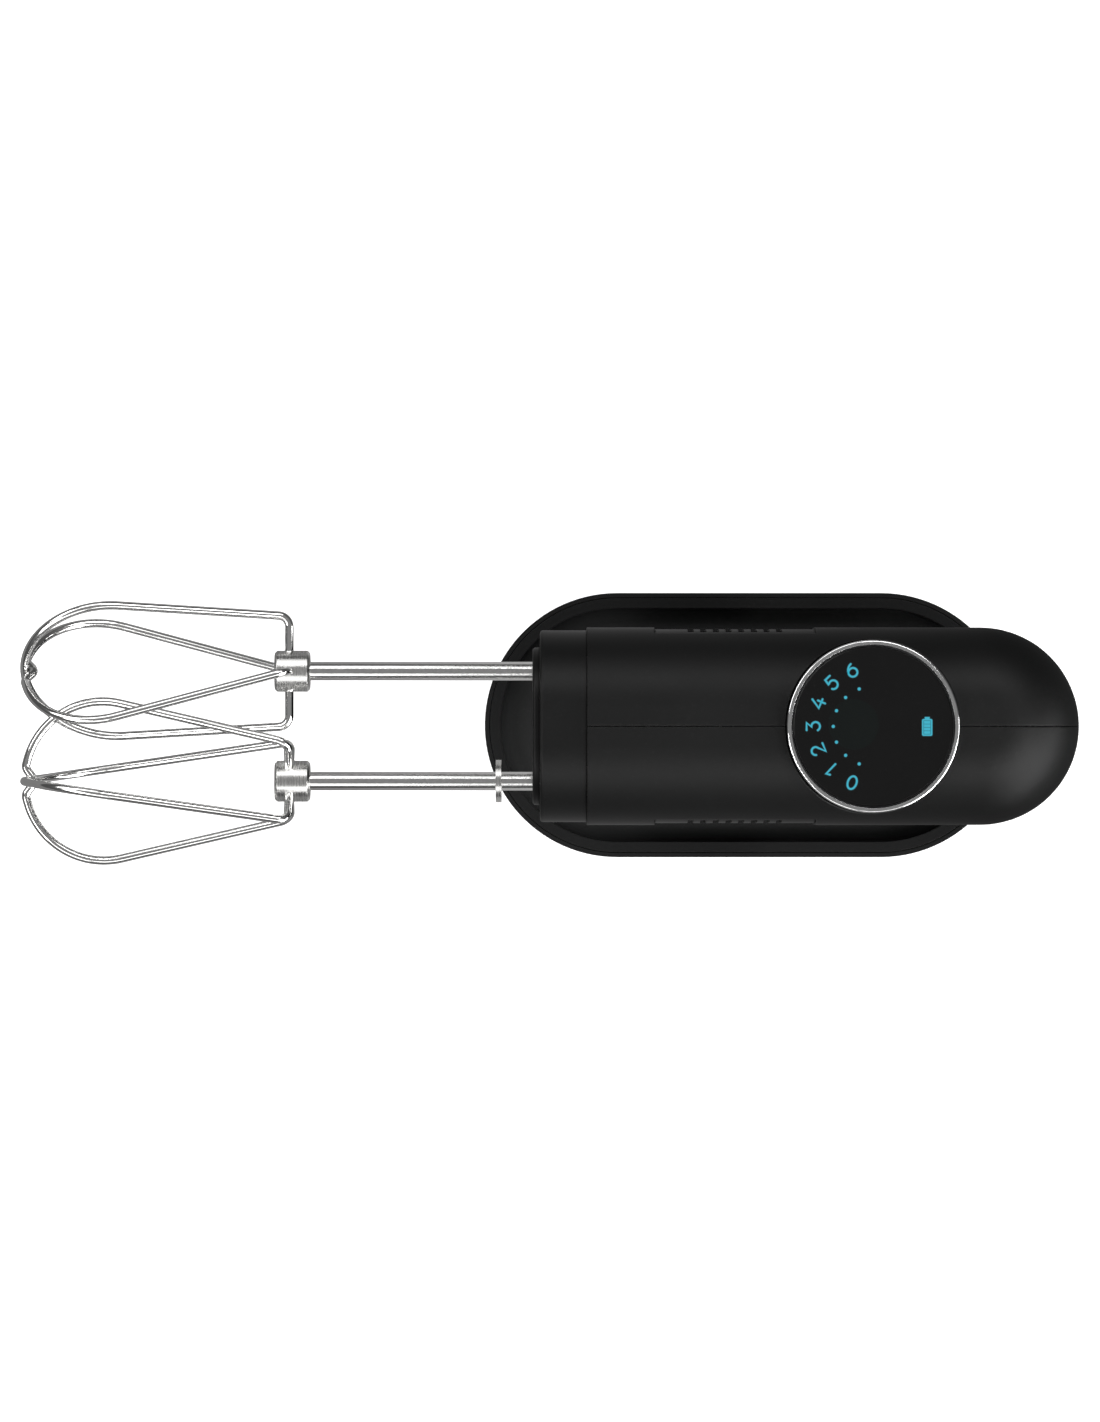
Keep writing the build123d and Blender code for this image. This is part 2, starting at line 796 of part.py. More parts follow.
def make_spindle(y):
    spindle = rod_x(spindle_radius, spindle_front_x, spindle_rear_x, y, beater_z)
    bore = shaft_radius + running_gap
    spindle -= rod_x(bore, spindle_front_x - past, hex_front_x, y, beater_z)
    socket = extrude(Plane.YZ * RegularPolygon(bore, 6), spindle_rear_x - hex_front_x + past)
    return spindle - Pos(hex_front_x - hex_overlap, y, beater_z) * socket


def frame_walls():
    return ((frame_front_x, frame_front_x + frame_wall), (frame_rear_x - frame_wall, frame_rear_x))


def make_gearbox_frame():
    y_range = (-frame_half_width, frame_half_width)
    x_range = (frame_front_x, frame_rear_x)
    frame = block(x_range, y_range, (frame_bottom, frame_bottom + frame_wall))
    for wall in frame_walls():
        frame += block(wall, y_range, (frame_bottom, frame_top))
    frame -= rod_z(frame_opening_radius, frame_bottom - past, frame_bottom + frame_wall + past, motor_x)
    for y in beater_spots:
        frame -= rod_x(bush_radius, frame_front_x - past, frame_rear_x + past, y, beater_z)
    hole_bottom = frame_top - cover_screw_depth - past / 2
    for x, y in cover_screw_spots():
        frame -= rod_z(cover_screw_radius + thread_gap, hole_bottom, frame_top + past, x, y)
    return frame


def make_spindle_bushes():
    bushes = []
    bore = spindle_radius + running_gap
    for y in beater_spots:
        for start, end in frame_walls():
            ring = rod_x(bush_radius, start, end, y, beater_z)
            bushes.append(ring - rod_x(bore, start - past, end + past, y, beater_z))
    return bushes


def make_gearbox_cover():
    y_range = (-frame_half_width, frame_half_width)
    top = frame_top + gearbox_cover_thickness
    cover = block((frame_front_x, frame_rear_x), y_range, (frame_top, top))
    cover -= rod_z(motor_shaft_radius + running_gap, frame_top - past, top + past, motor_x)
    for x, y in cover_screw_spots():
        cover -= rod_z(cover_screw_radius + thread_gap, frame_top - past, top + past, x, y)
    return cover


def cover_screw_spots():
    middles = [(start + end) / 2 for start, end in frame_walls()]
    return [(x, y) for x in middles for y in (-cover_screw_y, cover_screw_y)]


def make_cover_screw(x, y):
    top = frame_top + gearbox_cover_thickness
    screw = rod_z(cover_screw_radius, frame_top - cover_screw_depth, top, x, y)
    return screw + rod_z(cover_screw_head[0], top, top + cover_screw_head[1], x, y)


# ---- Motor ----

def make_motor_can():
    can = rod_z(motor_radius, motor_bottom, motor_top, motor_x)
    can -= rod_z(motor_radius - motor_wall, motor_bottom - past, motor_top - motor_wall, motor_x)
    return can - rod_z(motor_bush_radius, motor_bottom, motor_top + past, motor_x)


def sector_outline(radius, start_angle, arc):
    rim = CenterArc((0, 0), radius, start_angle, arc)
    return make_face(rim + Line(rim @ 1, (0, 0)) + Line((0, 0), rim @ 0))


def make_magnets():
    outer = motor_radius - motor_wall
    ring = rod_z(outer, rotor_bottom, rotor_top, motor_x)
    ring -= rod_z(outer - magnet_thickness, rotor_bottom - past, rotor_top + past, motor_x)
    magnets = []
    for side in (0, 180):
        outline = sector_outline(outer + past, side + 90 - magnet_arc / 2, magnet_arc)
        wedge = extrude(outline, rotor_top - rotor_bottom + 2 * past)
        magnets.append(ring & Pos(motor_x, 0, rotor_bottom - past) * wedge)
    return magnets


def end_plate_ends():
    return motor_bottom - end_plate_thickness, motor_bottom + end_plate_spigot


def make_end_plate():
    low, high = end_plate_ends()
    plate = rod_z(motor_radius, low, motor_bottom, motor_x)
    plate += rod_z(motor_radius - motor_wall - seat_gap, motor_bottom, high, motor_x)
    return plate - rod_z(motor_bush_radius, low - past, high + past, motor_x)


def make_motor_bushes():
    bushes = []
    bore = motor_shaft_radius + running_gap
    for low, high in (end_plate_ends(), (motor_top - motor_wall, motor_top)):
        bush = rod_z(motor_bush_radius, low, high, motor_x)
        bushes.append(bush - rod_z(bore, low - past, high + past, motor_x))
    return bushes


def make_rotor():
    height = rotor_top - rotor_bottom
    rotor = Cylinder(rotor_radius, height)
    width, depth = rotor_slot
    slot = Pos(rotor_radius + (past - depth) / 2, 0, 0) * Box(depth + past, width, height + past)
    for index in range(rotor_slots):
        rotor -= Rot(0, 0, index * 360 / rotor_slots) * slot
    rotor -= Cylinder(motor_shaft_radius, height + past)
    return Pos(motor_x, 0, (rotor_bottom + rotor_top) / 2) * rotor


def make_commutator():
    top = commutator_bottom + commutator_height
    ring = rod_z(commutator_radius, commutator_bottom, top, motor_x)
    return ring - rod_z(motor_shaft_radius, commutator_bottom - past, top + past, motor_x)


def make_brushes():
    brushes = []
    low = commutator_bottom + brush_lift
    inner = commutator_radius + brush_gap
    for side in (-1, 1):
        ends = sorted((motor_x + side * inner, motor_x + side * (inner + brush_size[0])))
        half = brush_size[1] / 2
        brushes.append(block(ends, (-half, half), (low, low + brush_size[2])))
    return brushes


def make_cushions():
    rings = []
    for level in cushion_levels:
        ring = rod_z(cushion_radius, level, level + cushion_height, motor_x)
        rings.append(ring - rod_z(motor_radius, level - past, level + cushion_height + past, motor_x))
    return rings


def make_fan():
    fan = rod_z(fan_radius, 0, fan_plate) + rod_z(fan_hub_radius, 0, fan_height)
    blade = Rot(0, 0, fan_blade_lean) * Box(*fan_blade_size, fan_height)
    blade = Pos(fan_blade_middle, 0, fan_height / 2) * blade
    for index in range(fan_blades):
        fan += Rot(0, 0, index * 360 / fan_blades) * blade
    fan -= rod_z(motor_shaft_radius, -past, fan_height + past)
    return Pos(motor_x, 0, fan_bottom) * fan


# ---- Battery, holder and boards ----

def make_cells():
    cells = []
    for index in range(2):
        low = cell_bottom + index * (cell_length + cell_gap)
        shoulder = low + cell_length - terminal_height
        cell = rod_z(cell_radius, low, shoulder, handle_x)
        cells.append(cell + rod_z(terminal_radius, shoulder, low + cell_length, handle_x))
    return cells


def make_cell_holder():
    top = cell_bottom + 2 * cell_length + cell_gap
    inner = cell_radius + holder_gap
    tray = rod_z(inner + holder_wall, cell_bottom, top, handle_x)
    tray -= rod_z(inner, cell_bottom - past, top + past, handle_x)
    return tray - block((handle_x + holder_mouth, handle_x + far), (-far, far), (0, top + past))


def make_main_board():
    half = main_board_size[1] / 2
    x_range = (main_board_x, main_board_x + main_board_size[0])
    return block(x_range, (-half, half), (main_board_bottom, main_board_bottom + main_board_size[2]))


def make_board_components():
    back = main_board_x
    parts = []
    for height, y_low, y_high, low, high in chips:
        z_range = (main_board_bottom + low, main_board_bottom + high)
        parts.append(block((back - height, back), (y_low, y_high), z_range))
    radius, height = capacitor_size
    for y, rise in capacitor_spots:
        parts.append(rod_x(radius, back - height, back, y, main_board_bottom + rise))
    return parts


# ---- Ejector ----

def make_eject_button(outer):
    rear_end = block((button_inner_x, dome_end_x + past), (-far, far), (head_bottom, head_top))
    button = button_prism(0) & outer & rear_end
    return button - rod_x(rod_radius, 0, button_inner_x + rod_socket, 0, beater_z)


def make_eject_rod():
    rod = rod_x(rod_radius, yoke_x + yoke_socket, button_inner_x + rod_socket, 0, beater_z)
    flange_end = rod_flange_x + rod_flange_thickness
    return rod + rod_x(rod_flange_radius, rod_flange_x, flange_end, 0, beater_z)


def make_yoke():
    half_height = yoke_height / 2
    bar = block(
        (yoke_x, yoke_x + yoke_thickness),
        (-yoke_half_width, yoke_half_width),
        (beater_z - half_height, beater_z + half_height),
    )
    return bar - rod_x(rod_radius, yoke_x + yoke_socket, yoke_x + yoke_thickness + past, 0, beater_z)


def make_eject_spring():
    start = spring_rib_x + rib_thickness + eject_spring_wire + spring_end_gap
    length = rod_flange_x - start - eject_spring_wire - spring_end_gap
    spring = coil(eject_spring_radius, eject_spring_wire, 0, length, eject_spring_turns)
    return Pos(start, 0, beater_z) * Rot(0, 90, 0) * spring


# ---- Beaters ----

def make_beater_shaft(y):
    shaft = rod_x(shaft_radius, hub_front_x + hub_shaft_inset, hex_front_x, y, beater_z)
    tail = extrude(Plane.YZ * RegularPolygon(shaft_radius, 6), hex_length)
    return shaft + Pos(hex_front_x, y, beater_z) * tail


def shaft_socket(y):
    return rod_x(shaft_radius, hub_front_x + hub_shaft_inset, 0, y, beater_z)


def make_hub(y, wires):
    hub = rod_x(hub_radius, hub_front_x, hub_rear_x, y, beater_z)
    ends = hub.edges().filter_by(GeomType.CIRCLE)
    hub = chamfer(ends, hub_chamfer)
    hub -= shaft_socket(y)
    for wire in wires:
        hub -= wire
    return hub


def arm_points(widest_angle, turn, dimpled):
    """Half of a wire loop as lines: from the tip to the hub, in the beater's own frame.

    The arm lies in a plane that leans off the axis, so that its shoulder is turned by
    arm_twist from its widest point. Angles are measured from +Z towards +Y."""
    angle = math.radians(widest_angle)
    outward = Vector(0, math.sin(angle), math.cos(angle))
    sideways = Vector(0, math.cos(angle), -math.sin(angle)) * turn
    twist = math.radians(arm_twist)
    reach = shoulder_x - tip_x
    shoulder_side = shoulder_radius * math.sin(twist)
    shoulder_out = shoulder_radius * math.cos(twist)
    along = (Vector(reach, 0, 0) + sideways * shoulder_side).normalized()
    shoulder_along = math.hypot(reach, shoulder_side)

    def place(u, v):
        return Vector(0, 0, 0) + along * u + outward * v

    gap = shoulder_along - widest_radius
    distance = math.hypot(gap, shoulder_out)
    leave = math.atan2(shoulder_out, gap) + math.acos(widest_radius / distance)
    straight_start = (
        widest_radius + widest_radius * math.cos(leave),
        widest_radius * math.sin(leave),
    )
    arc_start = math.pi
    if dimpled:
        arc_start = math.pi - math.asin(dimple_points[0][1] / widest_radius)

    def on_arc(theta):
        return place(widest_radius + widest_radius * math.cos(theta), widest_radius * math.sin(theta))

    arc = ThreePointArc(on_arc(arc_start), on_arc((arc_start + leave) / 2), on_arc(leave))
    shoulder = place(shoulder_along, shoulder_out)
    axis_point = Vector(reach, 0, 0)
    inward = (axis_point - shoulder).normalized()
    wire_end = shoulder + inward * (shoulder_radius - shaft_radius - wire_end_gap)
    run = FilletPolyline(place(*straight_start), shoulder, wire_end, radius=shoulder_round)
    return arc, run, on_arc(arc_start), [place(u, v) for u, v in dimple_points[1:]]


def make_loop(y, first_angle, turn, dimpled):
    """One wire: up one arm, over the tip and down the opposite arm."""
    arc_a, run_a, tip_a, dip_a = arm_points(first_angle, turn, dimpled)
    arc_b, run_b, tip_b, dip_b = arm_points(first_angle + 180, turn, dimpled)
    edges = [*run_a.edges(), arc_a.edges()[0]]
    if dimpled:
        middle = (dip_a[1] + dip_b[1]) * 0.5
        dip = FilletPolyline(tip_a, dip_a[0], middle, dip_b[0], tip_b, radius=dimple_round)
        edges += dip.edges()
    edges += [arc_b.edges()[0], *run_b.edges()]
    route = Wire.combine(edges, tol=0.01)[0]
    section = Plane(route @ 0, z_dir=route % 0) * Circle(wire_radius)
    loop = sweep(section, route, transition=Transition.ROUND)
    return Pos(tip_x, y, beater_z) * loop


def make_beater_loops(y, first_angle, turn):
    return [
        make_loop(y, first_angle, turn, False),
        make_loop(y, first_angle + 90, turn, True),
    ]


# ---- Write every piece ----

def write_base():
    save("base_foot_pad", base_slab(foot_pad_inset, 0, foot_pad_thickness))
    save("base_pan", make_base_pan())
    save("base_cover", make_base_cover())
    y_range = (-ballast_width / 2, ballast_width / 2)
    z_range = (inside_base, inside_base + ballast_height)
    save("base_ballast", *[block(x_range, y_range, z_range) for x_range in ballast_spans])
    half_x, half_y = base_board_size[0] / 2, base_board_size[1] / 2
    z_range = (board_level, board_level + base_board_size[2])
    save("base_circuit_board", block((-half_x, half_x), (-half_y, half_y), z_range))
    save("base_power_inlet", make_inlet())
    save("base_screws", *[make_base_screw(x, y) for x, y in base_bosses()])
    save("base_pin_block", make_pin_block())
    save("charge_pins", *[make_charge_pin(x) for x in pin_spots])
    save("charge_pin_springs", *[make_pin_spring(x) for x in pin_spots])


def write_body():
    outer = body(0, head_front_x)
    open_front_x = head_front_x - shell_wall
    cavity = body(shell_wall, open_front_x)
    save("left_shell", make_shell(-1, outer, cavity))
    save("right_shell", make_shell(1, outer, cavity))
    recessed = head(grille_recess, open_front_x)
    backed = head(grille_recess + grille_thickness, open_front_x)
    save("side_grilles", *[make_grille(side, recessed, backed) for side in (-1, 1)])
    heel = heel_saddle(outer)
    contacts = []
    for x in pin_spots:
        contact = rod_z(contact_radius, heel_bottom, heel_bottom + contact_thickness, x)
        heel -= contact
        contacts.append(contact)
    save("heel_cap", heel)
    save("heel_contacts", *contacts)
    save("nose_ring", make_nose_ring())
    save("socket_plate", make_socket_plate())
    screws = [make_housing_screw(x, z) for x, z in housing_screws]
    screws += [make_cover_screw(x, y) for x, y in cover_screw_spots()]
    save("body_screws", *screws)
    save("grip_pad", make_grip_pad())
    save("eject_button", make_eject_button(outer))


def write_dial():
    save("dial_seat", make_dial_seat())
    save("display_glass", make_display_glass())
    save("display_circuit_board", make_display_board())
    save("speed_ring", make_speed_ring())
    save("ring_magnet_carrier", make_ring_carrier())


def write_drive():
    save("gearbox_frame", make_gearbox_frame())
    save("gearbox_cover", make_gearbox_cover())
    save("spindle_bushes", *make_spindle_bushes())
    save("motor_can", make_motor_can())
    save("motor_magnets", *make_magnets())
    save("motor_end_plate", make_end_plate())
    save("motor_bushes", *make_motor_bushes())
    save("motor_brushes", *make_brushes())
    save("motor_cushions", *make_cushions())
    shaft_ends = (motor_bottom - shaft_below_motor, frame_top + shaft_above_frame)
    save("motor_shaft", rod_z(motor_shaft_radius, *shaft_ends, motor_x))
    save("rotor_core", make_rotor())
    save("commutator", make_commutator())
    save("cooling_fan", make_fan())
    save("worm", make_worm())
    for name, side in (("left", -1), ("right", 1)):
        save(name + "_worm_wheel", make_worm_wheel(side))
        save(name + "_spindle", make_spindle(side * beater_spacing / 2))


def write_electrics():
    save("battery_cells", *make_cells())
    save("battery_holder", make_cell_holder())
    save("main_circuit_board", make_main_board(), *make_board_components())


def write_ejector():
    save("eject_rod", make_eject_rod())
    save("eject_yoke", make_yoke())
    save("eject_spring", make_eject_spring())
    for name, side in (("left", -1), ("right", 1)):
        pin = rod_x(
            ejector_radius,
            beater_inner_x + ejector_gap,
            yoke_x - ejector_gap,
            side * beater_spacing / 2,
            beater_z,
        )
        save(name + "_ejector_pin", pin)


def write_beaters():
    for name, side, first_angle in (("left", -1, 0.0), ("right", 1, 45.0)):
        y = side * beater_spacing / 2
        loops = make_beater_loops(y, first_angle, side)
        save(name + "_beater_shaft", make_beater_shaft(y))
        save(name + "_beater_hub", make_hub(y, loops))
        save(name + "_beater_plain_loop", loops[0])
        save(name + "_beater_dimpled_loop", loops[1])
    half = collar_thickness / 2
    y = beater_spots[0]
    collar = rod_x(collar_radius, collar_x - half, collar_x + half, y, beater_z)
    save("left_beater_collar", collar - shaft_socket(y))


write_base()
write_body()
write_dial()
write_drive()
write_electrics()
write_ejector()
write_beaters()
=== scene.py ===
# %% [markdown]
# # A cordless hand mixer on its charging base
# The mixer stands on its heel, so its two wire beaters lie level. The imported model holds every
# piece at its real size and place. This script gives those pieces their finishes, adds what is
# printed on the display and moulded on the grip, and sets up the studio.

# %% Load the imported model
import json
import math
import bmesh
import bpy
from mathutils import Matrix, Vector


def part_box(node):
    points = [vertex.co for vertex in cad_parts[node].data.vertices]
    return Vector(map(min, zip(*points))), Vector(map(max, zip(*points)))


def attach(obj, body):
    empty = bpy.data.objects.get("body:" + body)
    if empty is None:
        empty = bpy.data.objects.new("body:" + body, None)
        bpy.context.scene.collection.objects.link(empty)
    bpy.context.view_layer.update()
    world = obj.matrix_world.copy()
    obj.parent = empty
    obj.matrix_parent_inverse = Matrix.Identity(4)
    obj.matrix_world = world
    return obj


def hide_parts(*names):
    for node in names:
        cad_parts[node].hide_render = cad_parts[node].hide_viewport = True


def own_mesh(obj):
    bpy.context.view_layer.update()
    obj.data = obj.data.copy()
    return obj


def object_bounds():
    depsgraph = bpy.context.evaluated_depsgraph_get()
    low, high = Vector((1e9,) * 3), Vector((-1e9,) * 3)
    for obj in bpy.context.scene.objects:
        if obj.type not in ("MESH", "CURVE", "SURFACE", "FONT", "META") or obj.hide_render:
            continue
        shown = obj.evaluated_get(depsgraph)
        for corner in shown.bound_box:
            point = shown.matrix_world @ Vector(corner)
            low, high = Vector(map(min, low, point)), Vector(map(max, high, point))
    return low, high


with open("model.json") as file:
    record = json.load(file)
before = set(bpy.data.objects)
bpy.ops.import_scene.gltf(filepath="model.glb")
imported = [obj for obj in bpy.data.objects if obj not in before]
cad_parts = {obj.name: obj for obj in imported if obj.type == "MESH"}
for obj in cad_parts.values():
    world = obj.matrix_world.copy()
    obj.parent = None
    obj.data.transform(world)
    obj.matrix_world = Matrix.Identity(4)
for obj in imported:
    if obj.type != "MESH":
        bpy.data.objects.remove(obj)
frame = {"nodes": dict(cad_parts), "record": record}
cad_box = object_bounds()
low_corner, high_corner = Vector(cad_box[0]), Vector(cad_box[1])
middle = (low_corner + high_corner) / 2
mm = 0.001
print("pieces:", len(frame["nodes"]), "box in mm:", [round(v / mm) for v in high_corner - low_corner])

# %% [markdown]
# ## Camera
# The mixer is looked at straight from above, from two metres away through a long lens, so that
# the base below shows only a little smaller than the body. The long side of the picture is
# upright, and Blender gives the sensor's 36 mm to it.

# %% Camera
camera_height = 2.173
camera_shift = (0.5 * mm, 4.7 * mm)     # off the middle of the model's box
lens_length = 163.3                     # in Blender's own millimetres
nearest_seen = 0.05

camera_data = bpy.data.cameras.new("camera")
camera_data.lens = lens_length
camera_data.clip_start = nearest_seen
camera = bpy.data.objects.new("camera", camera_data)
camera.location = (middle.x + camera_shift[0], camera_shift[1], camera_height)
bpy.context.scene.collection.objects.link(camera)
bpy.context.scene.camera = camera
print("camera at", [round(v, 4) for v in camera.location])

# %% [markdown]
# ## Studio
# Black plastic shows nothing but what it reflects, so the light is built from large soft panels.
# Two stand beside the body and draw a pale band along each side of its crown, and two beside the
# beaters light the wires and shafts. Beyond the handle, a large one and a low wide one round off
# the domed end. Two beyond the beaters reach the ends of the loops, the hubs and the base. Close
# to the horizon the room is darker than overhead, which keeps the sides of the body deep.

# %% Picture settings
bpy.context.scene.view_settings.view_transform = "Standard"

# %% Room
room_overhead = 0.24
room_horizon = 0.08
room_dark_below = 0.25      # how steeply a direction rises: 0 is level and 1 is straight up
room_bright_above = 0.8

world = bpy.data.worlds.new("studio")
bpy.context.scene.world = world
world.use_nodes = True
room = world.node_tree
room.nodes.clear()
room_out = room.nodes.new("ShaderNodeOutputWorld")
room_mix = room.nodes.new("ShaderNodeMixShader")
room_light = room.nodes.new("ShaderNodeBackground")
room_seen = room.nodes.new("ShaderNodeBackground")
room_ray = room.nodes.new("ShaderNodeLightPath")
room_place = room.nodes.new("ShaderNodeTexCoord")
room_split = room.nodes.new("ShaderNodeSeparateXYZ")
room_ramp = room.nodes.new("ShaderNodeValToRGB")
room_ramp.color_ramp.elements[0].position = room_dark_below
room_ramp.color_ramp.elements[0].color = (room_horizon, room_horizon, room_horizon, 1)
room_ramp.color_ramp.elements[1].position = room_bright_above
room_ramp.color_ramp.elements[1].color = (room_overhead, room_overhead, room_overhead, 1)
room_seen.inputs["Color"].default_value = (1, 1, 1, 1)
room.links.new(room_place.outputs["Generated"], room_split.inputs[0])
room.links.new(room_split.outputs["Z"], room_ramp.inputs[0])
room.links.new(room_ramp.outputs["Color"], room_light.inputs["Color"])
room.links.new(room_ray.outputs["Is Camera Ray"], room_mix.inputs[0])
room.links.new(room_light.outputs[0], room_mix.inputs[1])
room.links.new(room_seen.outputs[0], room_mix.inputs[2])
room.links.new(room_mix.outputs[0], room_out.inputs["Surface"])
print("room brightness overhead", room_overhead)


# %% Soft panels
def softbox(name, bearing, rise, distance, size, power, along=0.0):
    """A panel facing the mixer's top.

    Bearing turns from +X and rise is above the table, both in degrees. Distance and size are in
    metres and power is in watts. Along shifts the panel in X without turning it.
    """
    light = bpy.data.lights.new(name, "AREA")
    light.shape = "RECTANGLE"
    light.size, light.size_y = size
    light.energy = power
    panel = bpy.data.objects.new(name, light)
    turn, lift = math.radians(bearing), math.radians(rise)
    toward = Vector((math.cos(lift) * math.cos(turn), math.cos(lift) * math.sin(turn), math.sin(lift)))
    target = Vector((0, 0, high_corner.z))
    panel.location = target + toward * distance + Vector((along, 0, 0))
    panel.rotation_euler = (-toward).to_track_quat("-Z", "Y").to_euler()
    panel.visible_camera = False
    bpy.context.scene.collection.objects.link(panel)
    return panel


softbox("far_side_panel", 90, 50, 1.6, (1.0, 0.5), 7.4, along=0.45)
softbox("near_side_panel", -90, 50, 1.6, (1.0, 0.5), 3.2, along=0.45)
softbox("far_beater_panel", 90, 38, 1.6, (0.8, 1.0), 4.4, along=-0.52)
softbox("near_beater_panel", -90, 44, 1.6, (0.8, 0.8), 3.8, along=-0.52)
softbox("handle_end_panel", -35, 41, 1.7, (1.1, 0.9), 21.5)
softbox("low_end_panel", -30, 10, 1.7, (2.4, 0.4), 26.0)
softbox("beater_end_panel", 150, 34, 1.8, (1.0, 0.7), 9.0)
softbox("near_beater_end_panel", -150, 40, 1.8, (1.0, 0.7), 11.0)

# %% [markdown]
# ## Floor
# The table is a plain pale sheet, lit so evenly that nothing casts a shadow on it. Seen directly
# it glows white. What the mixer reflects of it is another matter: photographers lay black card
# just outside the picture so that dark plastic stays dark. The floor does the same for every ray
# that doesn't come from the camera. It is brightest under the front of the body, weaker under
# the beaters and darkest towards the handle.

# %% Floor
floor_radius = 4.0
floor_gap = 0.1 * mm
floor_white = 0.95
floor_glow = ((-0.16, 0.22), (-0.05, 0.50), (0.10, 0.12))     # place along X, reflected brightness

floor_mesh = bpy.data.meshes.new("floor")
sheet = bmesh.new()
bmesh.ops.create_circle(sheet, cap_ends=True, segments=96, radius=floor_radius)
sheet.to_mesh(floor_mesh)
sheet.free()
floor = bpy.data.objects.new("floor", floor_mesh)
floor.location.z = low_corner.z - floor_gap
bpy.context.scene.collection.objects.link(floor)
floor_paint = bpy.data.materials.new("pale_sheet")
floor_paint.use_nodes = True
sheet_tree = floor_paint.node_tree
sheet_shader = sheet_tree.nodes["Principled BSDF"]
sheet_shader.inputs["Base Color"].default_value = (0.5, 0.5, 0.5, 1)
sheet_shader.inputs["Roughness"].default_value = 1.0
sheet_shader.inputs["Specular IOR Level"].default_value = 0.0
sheet_shader.inputs["Emission Color"].default_value = (1, 1, 1, 1)
sheet_shader.inputs["Emission Strength"].default_value = floor_white
sheet_card = sheet_tree.nodes.new("ShaderNodeEmission")
sheet_mix = sheet_tree.nodes.new("ShaderNodeMixShader")
sheet_ray = sheet_tree.nodes.new("ShaderNodeLightPath")
sheet_place = sheet_tree.nodes.new("ShaderNodeTexCoord")
sheet_split = sheet_tree.nodes.new("ShaderNodeSeparateXYZ")
sheet_ramp = sheet_tree.nodes.new("ShaderNodeValToRGB")
glow_start, glow_end = floor_glow[0][0], floor_glow[-1][0]
glow_ramp = sheet_ramp.color_ramp
while len(glow_ramp.elements) < len(floor_glow):
    glow_ramp.elements.new(0.5)
for stop, (x, bright) in zip(glow_ramp.elements, floor_glow):
    stop.position = (x - glow_start) / (glow_end - glow_start)
    stop.color = (bright, bright, bright, 1)
sheet_range = sheet_tree.nodes.new("ShaderNodeMapRange")
sheet_range.inputs["From Min"].default_value = glow_start
sheet_range.inputs["From Max"].default_value = glow_end
for source, target in (
    (sheet_place.outputs["Object"], sheet_split.inputs[0]),
    (sheet_split.outputs["X"], sheet_range.inputs["Value"]),
    (sheet_range.outputs["Result"], sheet_ramp.inputs[0]),
    (sheet_ramp.outputs["Color"], sheet_card.inputs["Color"]),
    (sheet_ray.outputs["Is Camera Ray"], sheet_mix.inputs[0]),
    (sheet_card.outputs[0], sheet_mix.inputs[1]),
    (sheet_shader.outputs[0], sheet_mix.inputs[2]),
    (sheet_mix.outputs[0], sheet_tree.nodes["Material Output"].inputs["Surface"]),
):
    sheet_tree.links.new(source, target)
floor.data.materials.append(floor_paint)
print("floor radius", floor_radius)


# %% [markdown]
# ## Effects that several finishes share
# A shader node group works like a small tool with labelled knobs: it is wired once and then put
# into each material with its own settings. These groups put out only masks, heights and normals.
# They all work from the piece's own coordinates, in metres, so a grain keeps its real size.

# %% Helpers for wiring nodes
def new_group(name, knobs, results):
    """A node group with float knobs {name: value} and results {name: socket type}."""
    group = bpy.data.node_groups.new(name, "ShaderNodeTree")
    for title, value in knobs.items():
        socket = group.interface.new_socket(name=title, in_out="INPUT", socket_type="NodeSocketFloat")
        socket.default_value = value
    for title, kind in results.items():
        group.interface.new_socket(name=title, in_out="OUTPUT", socket_type=kind)
    return group, group.nodes.new("NodeGroupInput"), group.nodes.new("NodeGroupOutput")


def add(tree, kind, values=None, **settings):
    """A node with its settings and its unlinked socket values."""
    made = tree.nodes.new(kind)
    for key, value in settings.items():
        setattr(made, key, value)
    for key, value in (values or {}).items():
        made.inputs[key].default_value = value
    return made


def math_node(tree, operation, first, second=None, third=None, clamp=False):
    """A Math node fed by sockets or plain numbers. It returns its output socket."""
    made = add(tree, "ShaderNodeMath", operation=operation, use_clamp=clamp)
    for index, value in enumerate((first, second, third)):
        if value is None:
            continue
        if isinstance(value, (int, float)):
            made.inputs[index].default_value = value
        else:
            tree.links.new(value, made.inputs[index])
    return made.outputs[0]


# %% [markdown]
# ### Spark grain
# The steel mould of a plastic part is finished with sparks, which leave fine rounded pits. Noise
# gives the pits, and a second, much larger noise marks out patches where the colour is a little
# deeper and the gloss a little different, as on every real moulding.

# %% Spark grain
cell_share = 0.6

grain, grain_in, grain_out = new_group(
    "spark_grain",
    {"Grain Size": 0.3 * mm},
    {"Height": "NodeSocketFloat", "Patch": "NodeSocketFloat"},
)
place = add(grain, "ShaderNodeTexCoord")
per_metre = math_node(grain, "DIVIDE", 1.0, grain_in.outputs["Grain Size"])
pits = add(grain, "ShaderNodeTexNoise", {"Detail": 3.0, "Roughness": 0.6})
cells = add(grain, "ShaderNodeTexVoronoi", feature="SMOOTH_F1")
patches = add(grain, "ShaderNodeTexNoise", {"Scale": 28.0, "Detail": 2.0})
for texture in (pits, cells, patches):
    grain.links.new(place.outputs["Object"], texture.inputs["Vector"])
grain.links.new(per_metre, pits.inputs["Scale"])
grain.links.new(per_metre, cells.inputs["Scale"])
both = math_node(grain, "MULTIPLY_ADD", cells.outputs["Distance"], cell_share, pits.outputs["Fac"])
grain.links.new(both, grain_out.inputs["Height"])
grain.links.new(patches.outputs["Fac"], grain_out.inputs["Patch"])
print("group", grain.name)

